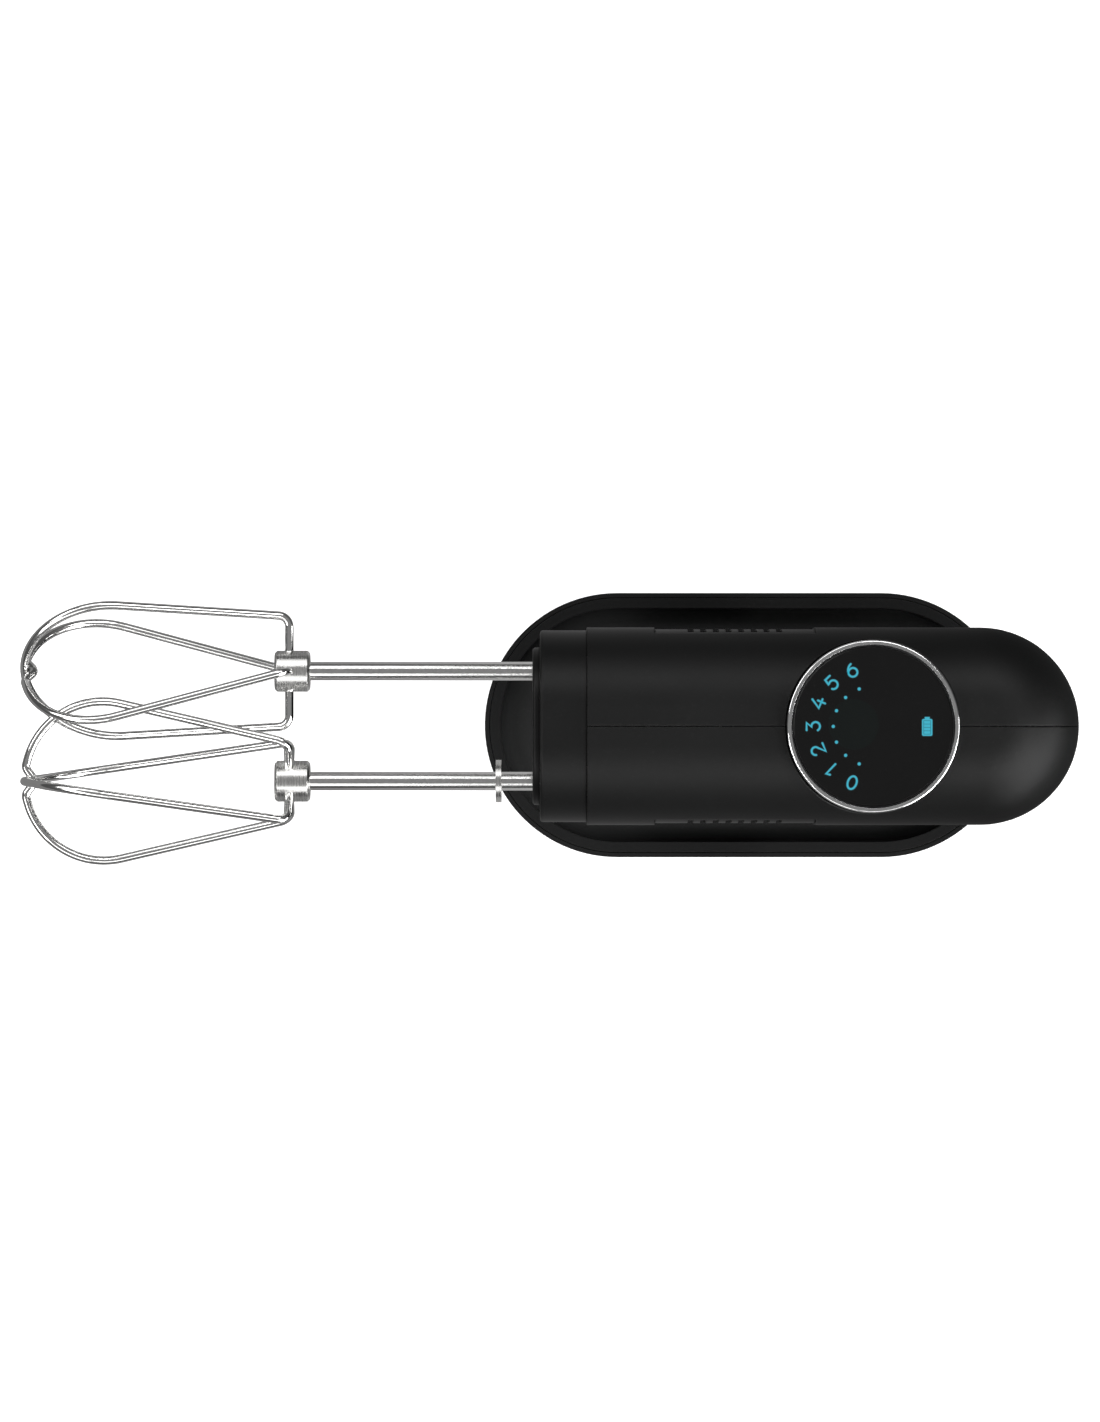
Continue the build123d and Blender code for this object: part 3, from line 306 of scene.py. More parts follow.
# %% [markdown]
# ### Softened edges
# No moulded or stamped edge is perfectly sharp. The Bevel node turns the normal near an edge, as
# if the edge had a small radius, so that it catches a thin line of light. Where that normal and
# the true one differ there is an edge, and hands rub it: that difference is the wear mask.

# %% Softened edges
edge_gain = 5.0

edges, edges_in, edges_out = new_group(
    "soft_edges",
    {"Edge Radius": 0.3 * mm, "Wear": 0.5},
    {"Mask": "NodeSocketFloat", "Normal": "NodeSocketVector"},
)
rounded = add(edges, "ShaderNodeBevel", samples=4)
true_normal = add(edges, "ShaderNodeNewGeometry")
meeting = add(edges, "ShaderNodeVectorMath", operation="DOT_PRODUCT")
rub = add(edges, "ShaderNodeTexNoise", {"Scale": 420.0, "Detail": 3.0})
rub_place = add(edges, "ShaderNodeTexCoord")
edges.links.new(rub_place.outputs["Object"], rub.inputs["Vector"])
edges.links.new(edges_in.outputs["Edge Radius"], rounded.inputs["Radius"])
edges.links.new(rounded.outputs["Normal"], meeting.inputs[0])
edges.links.new(true_normal.outputs["Normal"], meeting.inputs[1])
turned_away = math_node(edges, "SUBTRACT", 1.0, meeting.outputs["Value"], clamp=True)
strong = math_node(edges, "MULTIPLY", turned_away, edge_gain, clamp=True)
broken = math_node(edges, "MULTIPLY", strong, rub.outputs["Fac"])
worn = math_node(edges, "MULTIPLY", broken, edges_in.outputs["Wear"], clamp=True)
edges.links.new(worn, edges_out.inputs["Mask"])
edges.links.new(rounded.outputs["Normal"], edges_out.inputs["Normal"])
print("group", edges.name)

# %% [markdown]
# ### Dust and touch
# Fine dust settles on faces that look up, in clumps. Fingers leave broad, smooth patches that are
# a little glossier. Both are faint here: they break up an even surface without looking dirty. A
# gain and an offset turn each source into a mask: dust starts only on faces well turned upwards,
# and only the peaks of the noise become specks.

# %% Dust and touch
upward_gain, upward_offset = 1.4, -0.4
speck_gain, speck_offset = 5.0, -2.9

handling, handling_in, handling_out = new_group(
    "dust_and_touch",
    {"Dust": 0.2, "Touch": 0.3},
    {"Dust": "NodeSocketFloat", "Touch": "NodeSocketFloat"},
)
hand_place = add(handling, "ShaderNodeTexCoord")
facing = add(handling, "ShaderNodeNewGeometry")
facing_parts = add(handling, "ShaderNodeSeparateXYZ")
clumps = add(handling, "ShaderNodeTexNoise", {"Scale": 900.0, "Detail": 4.0, "Roughness": 0.7})
prints = add(handling, "ShaderNodeTexNoise", {"Scale": 55.0, "Detail": 5.0, "Distortion": 0.6})
for texture in (clumps, prints):
    handling.links.new(hand_place.outputs["Object"], texture.inputs["Vector"])
handling.links.new(facing.outputs["Normal"], facing_parts.inputs[0])
upward = math_node(
    handling, "MULTIPLY_ADD", facing_parts.outputs["Z"], upward_gain, upward_offset, clamp=True)
specks = math_node(
    handling, "MULTIPLY_ADD", clumps.outputs["Fac"], speck_gain, speck_offset, clamp=True)
settled = math_node(handling, "MULTIPLY", upward, specks)
dusted = math_node(handling, "MULTIPLY", settled, handling_in.outputs["Dust"])
centred = math_node(handling, "SUBTRACT", prints.outputs["Fac"], 0.5)
touched = math_node(handling, "MULTIPLY", centred, handling_in.outputs["Touch"])
handling.links.new(dusted, handling_out.inputs["Dust"])
handling.links.new(touched, handling_out.inputs["Touch"])
print("group", handling.name)

# %% [markdown]
# ### Tool marks
# Drawn wire has long scratches and a turned hub has rings. Both are noise squeezed along one
# direction: the knobs say how fine the marks are along each axis, in marks for each metre.

# %% Tool marks
streak_gain, streak_offset = 2.4, -0.7      # more contrast than the noise has by itself

marks, marks_in, marks_out = new_group(
    "tool_marks",
    {"Per X": 9000.0, "Per Y": 300.0, "Per Z": 300.0},
    {"Height": "NodeSocketFloat", "Streak": "NodeSocketFloat"},
)
marks_place = add(marks, "ShaderNodeTexCoord")
marks_size = add(marks, "ShaderNodeCombineXYZ")
squeezed = add(marks, "ShaderNodeVectorMath", operation="MULTIPLY")
scratches = add(marks, "ShaderNodeTexNoise", {"Scale": 1.0, "Detail": 4.0, "Roughness": 0.7})
for axis in "XYZ":
    marks.links.new(marks_in.outputs["Per " + axis], marks_size.inputs[axis])
marks.links.new(marks_place.outputs["Object"], squeezed.inputs[0])
marks.links.new(marks_size.outputs[0], squeezed.inputs[1])
marks.links.new(squeezed.outputs[0], scratches.inputs["Vector"])
contrast = math_node(
    marks, "MULTIPLY_ADD", scratches.outputs["Fac"], streak_gain, streak_offset, clamp=True)
marks.links.new(scratches.outputs["Fac"], marks_out.inputs["Height"])
marks.links.new(contrast, marks_out.inputs["Streak"])
print("group", marks.name)


# %% [markdown]
# ## Finishes
# Each finish is one Principled shader. Values that are the same all over sit on its own sockets,
# and only what changes over the surface comes in through the groups.

# %% Helpers for finishes
def place_group(tree, group, **knobs):
    """The group as a node, with knobs written as words joined by underscores."""
    made = add(tree, "ShaderNodeGroup", node_tree=group)
    for key, value in knobs.items():
        made.inputs[key.replace("_", " ")].default_value = value
    return made


def blend_colours(tree, factor, first, second):
    """Two colours mixed by a socket. Each colour is a socket or three numbers."""
    made = add(tree, "ShaderNodeMix", data_type="RGBA")
    tree.links.new(factor, made.inputs[0])
    for index, colour in ((6, first), (7, second)):
        if isinstance(colour, tuple):
            made.inputs[index].default_value = (*colour, 1)
        else:
            tree.links.new(colour, made.inputs[index])
    return made.outputs[2]


def start_finish(name, **sockets):
    """A new material and its shader, with the plain values set on the shader's sockets."""
    material = bpy.data.materials.new(name)
    material.use_nodes = True
    shader = material.node_tree.nodes["Principled BSDF"]
    for key, value in sockets.items():
        shader.inputs[key.replace("_", " ")].default_value = value
    return material, material.node_tree, shader


def connect_bump(tree, shader, height, depth, normal=None):
    """A height in metres onto the shader's normal, over softened edges where they are given."""
    bump = add(tree, "ShaderNodeBump", {"Strength": 1.0, "Distance": depth})
    tree.links.new(height, bump.inputs["Height"])
    if normal is not None:
        tree.links.new(normal, bump.inputs["Normal"])
    tree.links.new(bump.outputs["Normal"], shader.inputs["Normal"])


# %% [markdown]
# ### Moulded plastic and rubber
# Body, nose, base and rubber differ in colour, gloss and grain but are built alike: grain for the
# bump, paler worn edges, a little dust, and roughness that hands have changed here and there. The
# base's cover has a dish for the mixer's heel, and a paler colour is painted in it: painted light,
# where the body above would leave the dish in shade.

# %% Moulded finishes
patch_depth = 0.8       # the darker patches' share of the colour
patch_gloss = 0.08      # how far roughness differs between patches
dust_colour = (0.32, 0.31, 0.30)
rubbed_black = (0.05, 0.05, 0.05)


def moulded(name, colour, roughness, grain_size, grain_depth, edge_radius, wear, dust, touch,
            worn_colour=(0.10, 0.10, 0.10), dish=None, **sockets):
    """Plastic or rubber. A dish, (level, colour), paints everything below the level that colour:
    painted light where the body shades the dish.
    """
    material, tree, shader = start_finish(name, **sockets)
    texture = place_group(tree, grain, Grain_Size=grain_size)
    rims = place_group(tree, edges, Edge_Radius=edge_radius, Wear=wear)
    hands = place_group(tree, handling, Dust=dust, Touch=touch)
    deeper = tuple(patch_depth * part for part in colour)
    tinted = blend_colours(tree, texture.outputs["Patch"], deeper, colour)
    # A paler colour below the dish level is painted light: it lightens the base's dish where the body
    # above shades it.
    if dish is not None:
        level, painted_light = dish
        where = add(tree, "ShaderNodeTexCoord")
        split = add(tree, "ShaderNodeSeparateXYZ")
        tree.links.new(where.outputs["Object"], split.inputs[0])
        below = math_node(tree, "LESS_THAN", split.outputs["Z"], level)
        tinted = blend_colours(tree, below, tinted, painted_light)
    rubbed = blend_colours(tree, rims.outputs["Mask"], tinted, worn_colour)
    dusty = blend_colours(tree, hands.outputs["Dust"], rubbed, dust_colour)
    tree.links.new(dusty, shader.inputs["Base Color"])
    uneven = math_node(
        tree, "MULTIPLY_ADD", texture.outputs["Patch"], patch_gloss, roughness - patch_gloss / 2)
    gloss = math_node(tree, "ADD", uneven, hands.outputs["Touch"], clamp=True)
    tree.links.new(gloss, shader.inputs["Roughness"])
    connect_bump(tree, shader, texture.outputs["Height"], grain_depth, rims.outputs["Normal"])
    return material


finishes = {}
finishes["body_plastic"] = moulded(
    "soft_touch_body", (0.0023, 0.0024, 0.0024), roughness=0.50,
    grain_size=0.22 * mm, grain_depth=0.012 * mm, edge_radius=0.8 * mm,
    wear=0.25, dust=0.015, touch=0.05, worn_colour=rubbed_black, Specular_IOR_Level=0.22,
)
finishes["nose_plastic"] = moulded(
    "satin_nose", (0.0023, 0.0024, 0.0024), roughness=0.46,
    grain_size=0.20 * mm, grain_depth=0.009 * mm, edge_radius=0.6 * mm,
    wear=0.30, dust=0.015, touch=0.05, worn_colour=rubbed_black, Specular_IOR_Level=0.22,
)
finishes["base_plastic"] = moulded(
    "sparked_base", (0.0100, 0.0102, 0.0102), roughness=0.48,
    grain_size=0.35 * mm, grain_depth=0.016 * mm, edge_radius=0.45 * mm,
    wear=0.35, dust=0.025, touch=0.06, worn_colour=rubbed_black, Specular_IOR_Level=0.10,
)
cover_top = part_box("base_cover")[1][2]
dish_step = 0.5 * mm        # the paler colour starts this far below the cover's top
# The dish's paler colour is painted light, standing in for light that the body above keeps out of the
# dish.
painted_dish_light_colour = (0.0200, 0.0204, 0.0204)
sparked_base_painted_dish_light = moulded(
    "sparked_base_painted_dish_light", (0.0090, 0.0092, 0.0092), roughness=0.48,
    grain_size=0.35 * mm, grain_depth=0.016 * mm, edge_radius=0.45 * mm,
    wear=0.35, dust=0.025, touch=0.06, worn_colour=rubbed_black,
    dish=(cover_top - dish_step, painted_dish_light_colour), Specular_IOR_Level=0.10,
)
finishes["soft_rubber"] = moulded(
    "soft_rubber", (0.0060, 0.0060, 0.0060), roughness=0.72,
    grain_size=0.45 * mm, grain_depth=0.02 * mm, edge_radius=0.20 * mm,
    wear=0.15, dust=0.10, touch=0.06, worn_colour=rubbed_black,
    Specular_IOR_Level=0.25, Sheen_Weight=0.08, Sheen_Roughness=0.5,
)
finishes["inner_plastic"] = moulded(
    "inner_moulding", (0.03, 0.03, 0.032), roughness=0.5,
    grain_size=0.4 * mm, grain_depth=0.01 * mm, edge_radius=0.2 * mm,
    wear=0.2, dust=0.05, touch=0.04,
)
finishes["gear_plastic"] = moulded(
    "natural_acetal", (0.78, 0.76, 0.69), roughness=0.38,
    grain_size=0.5 * mm, grain_depth=0.005 * mm, edge_radius=0.1 * mm,
    wear=0.1, dust=0.02, touch=0.05, worn_colour=(0.9, 0.89, 0.84),
    Subsurface_Weight=0.1, Subsurface_Scale=0.001,
)
finishes["carbon"] = moulded(
    "pressed_carbon", (0.02, 0.02, 0.021), roughness=0.62,
    grain_size=0.12 * mm, grain_depth=0.01 * mm, edge_radius=0.1 * mm,
    wear=0.4, dust=0.02, touch=0.05,
)
print("moulded finishes:", sorted(finishes))


# %% [markdown]
# ### Metals
# A metal has no colour of its own under the gloss, so its marks show in the roughness and in very
# shallow scratches. Wire is drawn, shafts are ground, hubs are turned and plated sheet is plain:
# they share one build and differ in how the marks run.

# %% Metal finishes
metal_dust = (0.4, 0.39, 0.38)


def metal(name, colour, roughness, spread, per_metre_xyz, mark_depth, edge_radius=0.1 * mm,
          dark=0.75):
    """A metal with so many marks for each metre along X, Y and Z.

    Spread is how much the marks change the roughness, and dark is the colour's share in them.
    """
    material, tree, shader = start_finish(name, Metallic=1.0)
    knobs = dict(zip(("Per_X", "Per_Y", "Per_Z"), per_metre_xyz))
    tooling = place_group(tree, marks, **knobs)
    rims = place_group(tree, edges, Edge_Radius=edge_radius, Wear=0.5)
    hands = place_group(tree, handling, Dust=0.04, Touch=0.08)
    shaded = tuple(dark * part for part in colour)
    streaked = blend_colours(tree, tooling.outputs["Streak"], shaded, colour)
    dusty = blend_colours(tree, hands.outputs["Dust"], streaked, metal_dust)
    tree.links.new(dusty, shader.inputs["Base Color"])
    marked = math_node(
        tree, "MULTIPLY_ADD", tooling.outputs["Streak"], spread, roughness - spread / 2)
    gloss = math_node(tree, "ADD", marked, hands.outputs["Touch"], clamp=True)
    tree.links.new(gloss, shader.inputs["Roughness"])
    connect_bump(tree, shader, tooling.outputs["Height"], mark_depth, rims.outputs["Normal"])
    return material


steel = (0.88, 0.875, 0.865)
drawn_wire = metal(
    "drawn_wire", steel, roughness=0.10, spread=0.04,
    per_metre_xyz=(250, 900, 900), mark_depth=0.0006 * mm, dark=0.92,
)
ground_rod = metal(
    "ground_rod", steel, roughness=0.14, spread=0.12,
    per_metre_xyz=(1800, 1800, 1800), mark_depth=0.004 * mm, dark=0.85,
)
turned_hub = metal(
    "turned_hub", (0.80, 0.795, 0.78), roughness=0.24, spread=0.16,
    per_metre_xyz=(9000, 120, 120), mark_depth=0.010 * mm, edge_radius=0.15 * mm,
)
finishes["beater_steel"] = drawn_wire
finishes["chrome_trim"] = metal(
    "bright_chrome", (0.88, 0.88, 0.88), roughness=0.09, spread=0.03,
    per_metre_xyz=(500, 500, 4000), mark_depth=0.0004 * mm, dark=0.9,
)
finishes["plain_steel"] = metal(
    "zinc_plate", (0.55, 0.56, 0.58), roughness=0.32, spread=0.15,
    per_metre_xyz=(700, 700, 700), mark_depth=0.004 * mm,
)
finishes["spring_steel"] = metal(
    "spring_wire", (0.50, 0.49, 0.48), roughness=0.28, spread=0.12,
    per_metre_xyz=(4000, 4000, 800), mark_depth=0.003 * mm,
)
finishes["gold_contacts"] = metal(
    "gold_plate", (0.86, 0.62, 0.24), roughness=0.18, spread=0.08,
    per_metre_xyz=(900, 900, 900), mark_depth=0.002 * mm,
)
finishes["bronze"] = metal(
    "sintered_bronze", (0.60, 0.40, 0.20), roughness=0.42, spread=0.20,
    per_metre_xyz=(6000, 6000, 6000), mark_depth=0.008 * mm, dark=0.5,
)
finishes["copper"] = metal(
    "turned_copper", (0.80, 0.42, 0.26), roughness=0.25, spread=0.14,
    per_metre_xyz=(200, 200, 9000), mark_depth=0.004 * mm,
)
finishes["cast_frame"] = metal(
    "die_casting", (0.52, 0.53, 0.54), roughness=0.48, spread=0.14,
    per_metre_xyz=(1400, 1400, 1400), mark_depth=0.020 * mm,
)
print("beater finishes:", drawn_wire.name, ground_rod.name, turned_hub.name)


# %% [markdown]
# ### Iron inside the mixer
# The rotor is a stack of thin punched sheets, so fine dark lines run round it, one for each sheet.
# The ballast plates in the base are cast and thickly painted.

# %% Iron finishes
seam_from = 0.8         # share of each sheet's thickness before its dark seam
seam_darkness = 0.3     # the seam's share of the colour
seam_depth = 0.03 * mm
sheet_roughness = 0.4
seam_roughness = 0.3    # what a seam adds to it


def stacked_sheets(name, colour, sheet_thickness):
    """Bright sheets one on another in Z, parted by dark and slightly sunk seams."""
    material, tree, shader = start_finish(name, Metallic=0.7)
    where = add(tree, "ShaderNodeTexCoord")
    split = add(tree, "ShaderNodeSeparateXYZ")
    tree.links.new(where.outputs["Object"], split.inputs[0])
    level = math_node(tree, "DIVIDE", split.outputs["Z"], sheet_thickness)
    fraction = math_node(tree, "FRACT", level)
    seam = math_node(tree, "GREATER_THAN", fraction, seam_from)
    colours = blend_colours(tree, seam, colour, tuple(seam_darkness * part for part in colour))
    tree.links.new(colours, shader.inputs["Base Color"])
    gloss = math_node(tree, "MULTIPLY_ADD", seam, seam_roughness, sheet_roughness)
    tree.links.new(gloss, shader.inputs["Roughness"])
    inverse = math_node(tree, "SUBTRACT", 1.0, seam)
    connect_bump(tree, shader, inverse, seam_depth)
    return material


finishes["iron_core"] = stacked_sheets("stacked_sheets", (0.30, 0.29, 0.28), 0.5 * mm)
finishes["ballast_iron"] = moulded(
    "painted_casting", (0.03, 0.03, 0.033), roughness=0.55,
    grain_size=0.9 * mm, grain_depth=0.05 * mm, edge_radius=0.3 * mm,
    wear=0.5, dust=0.05, touch=0.05, Metallic=0.2,
)
print("iron finishes:", finishes["iron_core"].name, finishes["ballast_iron"].name)


# %% [markdown]
# ### Circuit boards and battery wrap
# A board is green lacquer over copper tracks, which show as paler lines. The black parts soldered
# to it belong to the same piece, and the board's own thickness tells them apart. The cells are
# shrink-wrapped, which leaves a few soft wrinkles, and their ends are bare metal.

# %% Circuit board and cell finishes
board_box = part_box("main_circuit_board")
board_thickness = 1.6 * mm
board_face_x = board_box[1][0] - board_thickness
part_gap = 0.05 * mm        # a surface this far off the board's face belongs to a part
part_black = (0.012, 0.012, 0.012)
track_height = 0.02 * mm

circuit, tree, shader = start_finish("solder_mask", Roughness=0.32, Coat_Weight=0.4)
where = add(tree, "ShaderNodeTexCoord")
split = add(tree, "ShaderNodeSeparateXYZ")
tracks = add(tree, "ShaderNodeTexBrick", {"Scale": 260.0, "Mortar Size": 0.035, "Row Height": 0.5})
tracks.inputs["Color1"].default_value = (0.006, 0.075, 0.03, 1)
tracks.inputs["Color2"].default_value = (0.005, 0.065, 0.026, 1)
tracks.inputs["Mortar"].default_value = (0.015, 0.16, 0.06, 1)
tree.links.new(where.outputs["Object"], split.inputs[0])
tree.links.new(where.outputs["Object"], tracks.inputs["Vector"])
in_front = math_node(tree, "LESS_THAN", split.outputs["X"], board_face_x - part_gap)
high_up = math_node(tree, "GREATER_THAN", split.outputs["Z"], board_box[0][2])
is_part = math_node(tree, "MULTIPLY", in_front, high_up)
colours = blend_colours(tree, is_part, tracks.outputs["Color"], part_black)
tree.links.new(colours, shader.inputs["Base Color"])
connect_bump(tree, shader, tracks.outputs["Fac"], track_height)
finishes["circuit"] = circuit

wrap_blue, wrap_paler_blue = (0.010, 0.07, 0.24), (0.016, 0.11, 0.34)
wrap_roughness = 0.2        # where the wrap is tightest
wrinkle_roughness = 0.2     # what a wrinkle adds to it
wrinkle_height = 0.06 * mm

wrap, tree, shader = start_finish("cell_wrap", Coat_Weight=0.3)
where = add(tree, "ShaderNodeTexCoord")
wrinkles = add(tree, "ShaderNodeTexNoise", {"Scale": 160.0, "Detail": 3.0, "Distortion": 1.5})
tree.links.new(where.outputs["Object"], wrinkles.inputs["Vector"])
colours = blend_colours(tree, wrinkles.outputs["Fac"], wrap_blue, wrap_paler_blue)
tree.links.new(colours, shader.inputs["Base Color"])
gloss = math_node(
    tree, "MULTIPLY_ADD", wrinkles.outputs["Fac"], wrinkle_roughness, wrap_roughness)
tree.links.new(gloss, shader.inputs["Roughness"])
connect_bump(tree, shader, wrinkles.outputs["Fac"], wrinkle_height)
finishes["cell_wrap"] = wrap
print("board face at x =", round(board_face_x / mm, 2), "mm")

# %% [markdown]
# ### Display glass
# The dial's window is black glass with the finest matt finish, so it stays dark and shows no sharp
# reflections. Behind it, on the beaters' side of the middle, a round sensor makes it a shade
# greener.

# %% Display glass
glass_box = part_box("display_glass")
dial_x = (glass_box[0][0] + glass_box[1][0]) / 2
glass_top = glass_box[1][2]
sensor_centre = (dial_x - 6.0 * mm, 0.6 * mm, 0.0)
sensor_radius = 7.7 * mm
glass_roughness = 0.3
glass_black = (0.0031, 0.0031, 0.0031)
sensor_green = (0.0031, 0.0044, 0.0041)

window, tree, shader = start_finish("black_glass", Roughness=glass_roughness, Specular_IOR_Level=0.20)
where = add(tree, "ShaderNodeTexCoord")
flat = add(tree, "ShaderNodeVectorMath", operation="MULTIPLY")
flat.inputs[1].default_value = (1, 1, 0)
reach = add(tree, "ShaderNodeVectorMath", operation="DISTANCE")
reach.inputs[1].default_value = sensor_centre
tree.links.new(where.outputs["Object"], flat.inputs[0])
tree.links.new(flat.outputs[0], reach.inputs[0])
inside = math_node(tree, "LESS_THAN", reach.outputs["Value"], sensor_radius)
colours = blend_colours(tree, inside, glass_black, sensor_green)
hands = place_group(tree, handling, Dust=0.03, Touch=0.06)
dusty = blend_colours(tree, hands.outputs["Dust"], colours, (0.1, 0.1, 0.1))
tree.links.new(dusty, shader.inputs["Base Color"])
gloss = math_node(tree, "ADD", hands.outputs["Touch"], glass_roughness, clamp=True)
tree.links.new(gloss, shader.inputs["Roughness"])
rims = place_group(tree, edges, Edge_Radius=0.15 * mm, Wear=0.2)
tree.links.new(rims.outputs["Normal"], shader.inputs["Normal"])
finishes["display_glass"] = window
print("dial centre x", round(dial_x / mm, 2), "glass top", round(glass_top / mm, 2))

# %% [markdown]
# ## Finishes onto the pieces
# The imported record says which finish each piece takes. The beaters' steel is worked in three ways,
# so their shafts, collar and hubs get their own, and so does the base's cover with the painted light
# in its dish.

# %% Assign the finishes
own_finish = {
    "base_cover": sparked_base_painted_dish_light,
    "left_beater_shaft": ground_rod,
    "right_beater_shaft": ground_rod,
    "left_beater_collar": turned_hub,
    "left_beater_hub": turned_hub,
    "right_beater_hub": turned_hub,
}
dressed = 0
for part in frame["record"]["subparts"]:
    name = part["node"]
    piece = frame["nodes"][name]
    finish = own_finish.get(name, finishes[part["material_slot"]])
    if not piece.material_slots:
        piece.data.materials.append(finish)
    for slot in piece.material_slots:
        slot.material = finish
    dressed += 1
print("pieces dressed:", dressed)


# %% [markdown]
# ## Lit markings on the display
# Seven speed numbers, a dot below each and a battery sign shine through the glass. Each number is
# a few strokes of even width with round ends. A stroke could be a curve with a bevel, but a flat
# ribbon of faces gives the same outline with a thickness of its own choice, so it is built as one.

# %% Ribbons
longest_mitre = 1.6     # a sharp corner's points may stand this many half widths out


def bow(centre, radii, start, end, steps=20):
    """Points on an ellipse's arc, from start to end in degrees."""
    turns = [math.radians(start + (end - start) * i / steps) for i in range(steps + 1)]
    return [(centre[0] + radii[0] * math.cos(t), centre[1] + radii[1] * math.sin(t)) for t in turns]


def ribbon(mesh, points, width, closed=False, cap_steps=8):
    """A flat strip along the points, mitred at corners and round at its ends."""
    path = [Vector(p) for p in points]
    count = len(path)
    sides = []
    for i, here in enumerate(path):
        before = path[(i - 1) % count] if closed or i > 0 else here
        after = path[(i + 1) % count] if closed or i < count - 1 else here
        into = (here - before).normalized() if before != here else (after - here).normalized()
        out = (after - here).normalized() if after != here else into
        middle_way = (into + out).normalized()
        across = Vector((-middle_way.y, middle_way.x))
        stretch = min(1.0 / max(0.5, middle_way.dot(out)), longest_mitre)
        offset = across * (width / 2 * stretch)
        sides.append([mesh.verts.new((*(here + s * offset), 0)) for s in (1, -1)])
    pairs = list(zip(sides, sides[1:] + sides[:1])) if closed else list(zip(sides, sides[1:]))
    for (a, b), (c, d) in pairs:
        mesh.faces.new((a, b, d, c))
    if closed:
        return
    for end, near in ((0, 1), (-1, -2)):
        outward = (path[end] - path[near]).normalized()
        left, right = sides[end]
        first = right if end == 0 else left
        last = left if end == 0 else right
        arm = first.co.to_2d() - path[end]
        way_round = 1 if arm.orthogonal().dot(outward) > 0 else -1
        sweep = []
        for i in range(1, cap_steps):
            turned = Matrix.Rotation(way_round * math.pi * i / cap_steps, 2) @ arm
            sweep.append(mesh.verts.new((*(path[end] + turned), 0)))
        mesh.faces.new([first, *sweep, last])


print("ribbon tool ready")

# %% [markdown]
# ### The numbers
# A number is drawn in a frame one unit high, with its middle at zero. Straight strokes are lists
# of corners and round ones are arcs of an ellipse.

# %% Number strokes
number_strokes = {
    0: [(bow((0, 0), (0.33, 0.5), 0, 342, 19), True)],
    1: [([(0.1, -0.5), (0.1, 0.5), (-0.16, 0.36)], False)],
    2: [(bow((0, 0.2), (0.3, 0.3), 165, -35) + [(-0.31, -0.5), (0.35, -0.5)], False)],
    3: [([(-0.28, 0.5), (0.27, 0.5), (-0.03, 0.13)] + bow((0, -0.18), (0.33, 0.32), 80, -150), False)],
    4: [([(0.08, 0.5), (-0.34, -0.2), (0.38, -0.2)], False), ([(0.16, 0.08), (0.16, -0.5)], False)],
    5: [([(0.27, 0.5), (-0.2, 0.5), (-0.25, 0.1)] + bow((0, -0.17), (0.33, 0.33), 125, -150), False)],
    6: [
        (bow((0, -0.17), (0.34, 0.33), 0, 342, 19), True),
        (bow((0.3, -0.14), (0.63, 0.66), 180, 112, 10), False),
    ],
}
number_height = 4.05 * mm       # between the middles of the strokes
stroke_width = 0.50 * mm
number_radius = 18.3 * mm
dot_ring_radius = 12.2 * mm
dot_width = 0.9 * mm
number_step = 23.1              # degrees from one setting to the next
settings = range(len(number_strokes))
middle_setting = 3              # the one that lies towards the beaters
print("settings:", list(settings))


# %% Lay the numbers round the dial
def setting_angle(number):
    """Where a setting lies round the dial, as an angle from +X."""
    return math.radians(180 + (middle_setting - number) * number_step)


def number_points(number, points):
    """A stroke's points turned so that the number's top faces outwards."""
    angle = setting_angle(number)
    outward = Vector((math.cos(angle), math.sin(angle)))
    right = Vector((outward.y, -outward.x))
    centre = Vector((dial_x, 0)) + outward * number_radius
    return [centre + right * x * number_height + outward * y * number_height for x, y in points]


def disc(mesh, centre, radius, steps=24):
    """A round face with so many corners."""
    corners = []
    for i in range(steps):
        angle = 2 * math.pi * i / steps
        x = centre[0] + radius * math.cos(angle)
        y = centre[1] + radius * math.sin(angle)
        corners.append(mesh.verts.new((x, y, 0)))
    mesh.faces.new(corners)


def draw_markings(mesh, stroke, spread):
    """All numbers with strokes of one width, and the dots grown by the spread."""
    for number, strokes in number_strokes.items():
        for points, closed in strokes:
            ribbon(mesh, number_points(number, points), stroke, closed)
    for number in settings:
        angle = setting_angle(number)
        spot = (dial_x + dot_ring_radius * math.cos(angle), dot_ring_radius * math.sin(angle))
        disc(mesh, spot, dot_width / 2 + spread)


# %% [markdown]
# ### The battery sign
# A rounded block with a small stud. A thin darker line runs round inside it, and three more part
# it into four cells.

# %% Battery sign
sign_size = (3.1 * mm, 5.1 * mm)
sign_corner = 0.45 * mm
stud_size = (1.5 * mm, 0.6 * mm)
stud_corner = 0.2 * mm
sign_x = dial_x + 16.4 * mm
sign_y = -0.3 * mm
sign_line = 0.18 * mm
line_inset = 0.5 * mm           # from the block's edge to the line that runs round the cells
quarters = ((1, 1), (-1, 1), (-1, -1), (1, -1))


def rounded_block(mesh, centre, size, corner, steps=5):
    """A rectangular face whose corners are quarter circles."""
    outline = []
    for quarter, (sx, sy) in enumerate(quarters):
        middle_x = centre[0] + sx * (size[0] / 2 - corner)
        middle_y = centre[1] + sy * (size[1] / 2 - corner)
        start = 90 * quarter
        outline += bow((middle_x, middle_y), (corner, corner), start, start + 90, steps)
    mesh.faces.new([mesh.verts.new((x, y, 0)) for x, y in outline])


def draw_battery(mesh, spread):
    """The block and its stud, both grown by the spread."""
    grown = (sign_size[0] + 2 * spread, sign_size[1] + 2 * spread)
    rounded_block(mesh, (sign_x, sign_y), grown, sign_corner + spread)
    stud = (stud_size[0] + 2 * spread, stud_size[1] + spread)
    stud_y = sign_y + sign_size[1] / 2 + stud[1] / 2
    rounded_block(mesh, (sign_x, stud_y), stud, stud_corner)


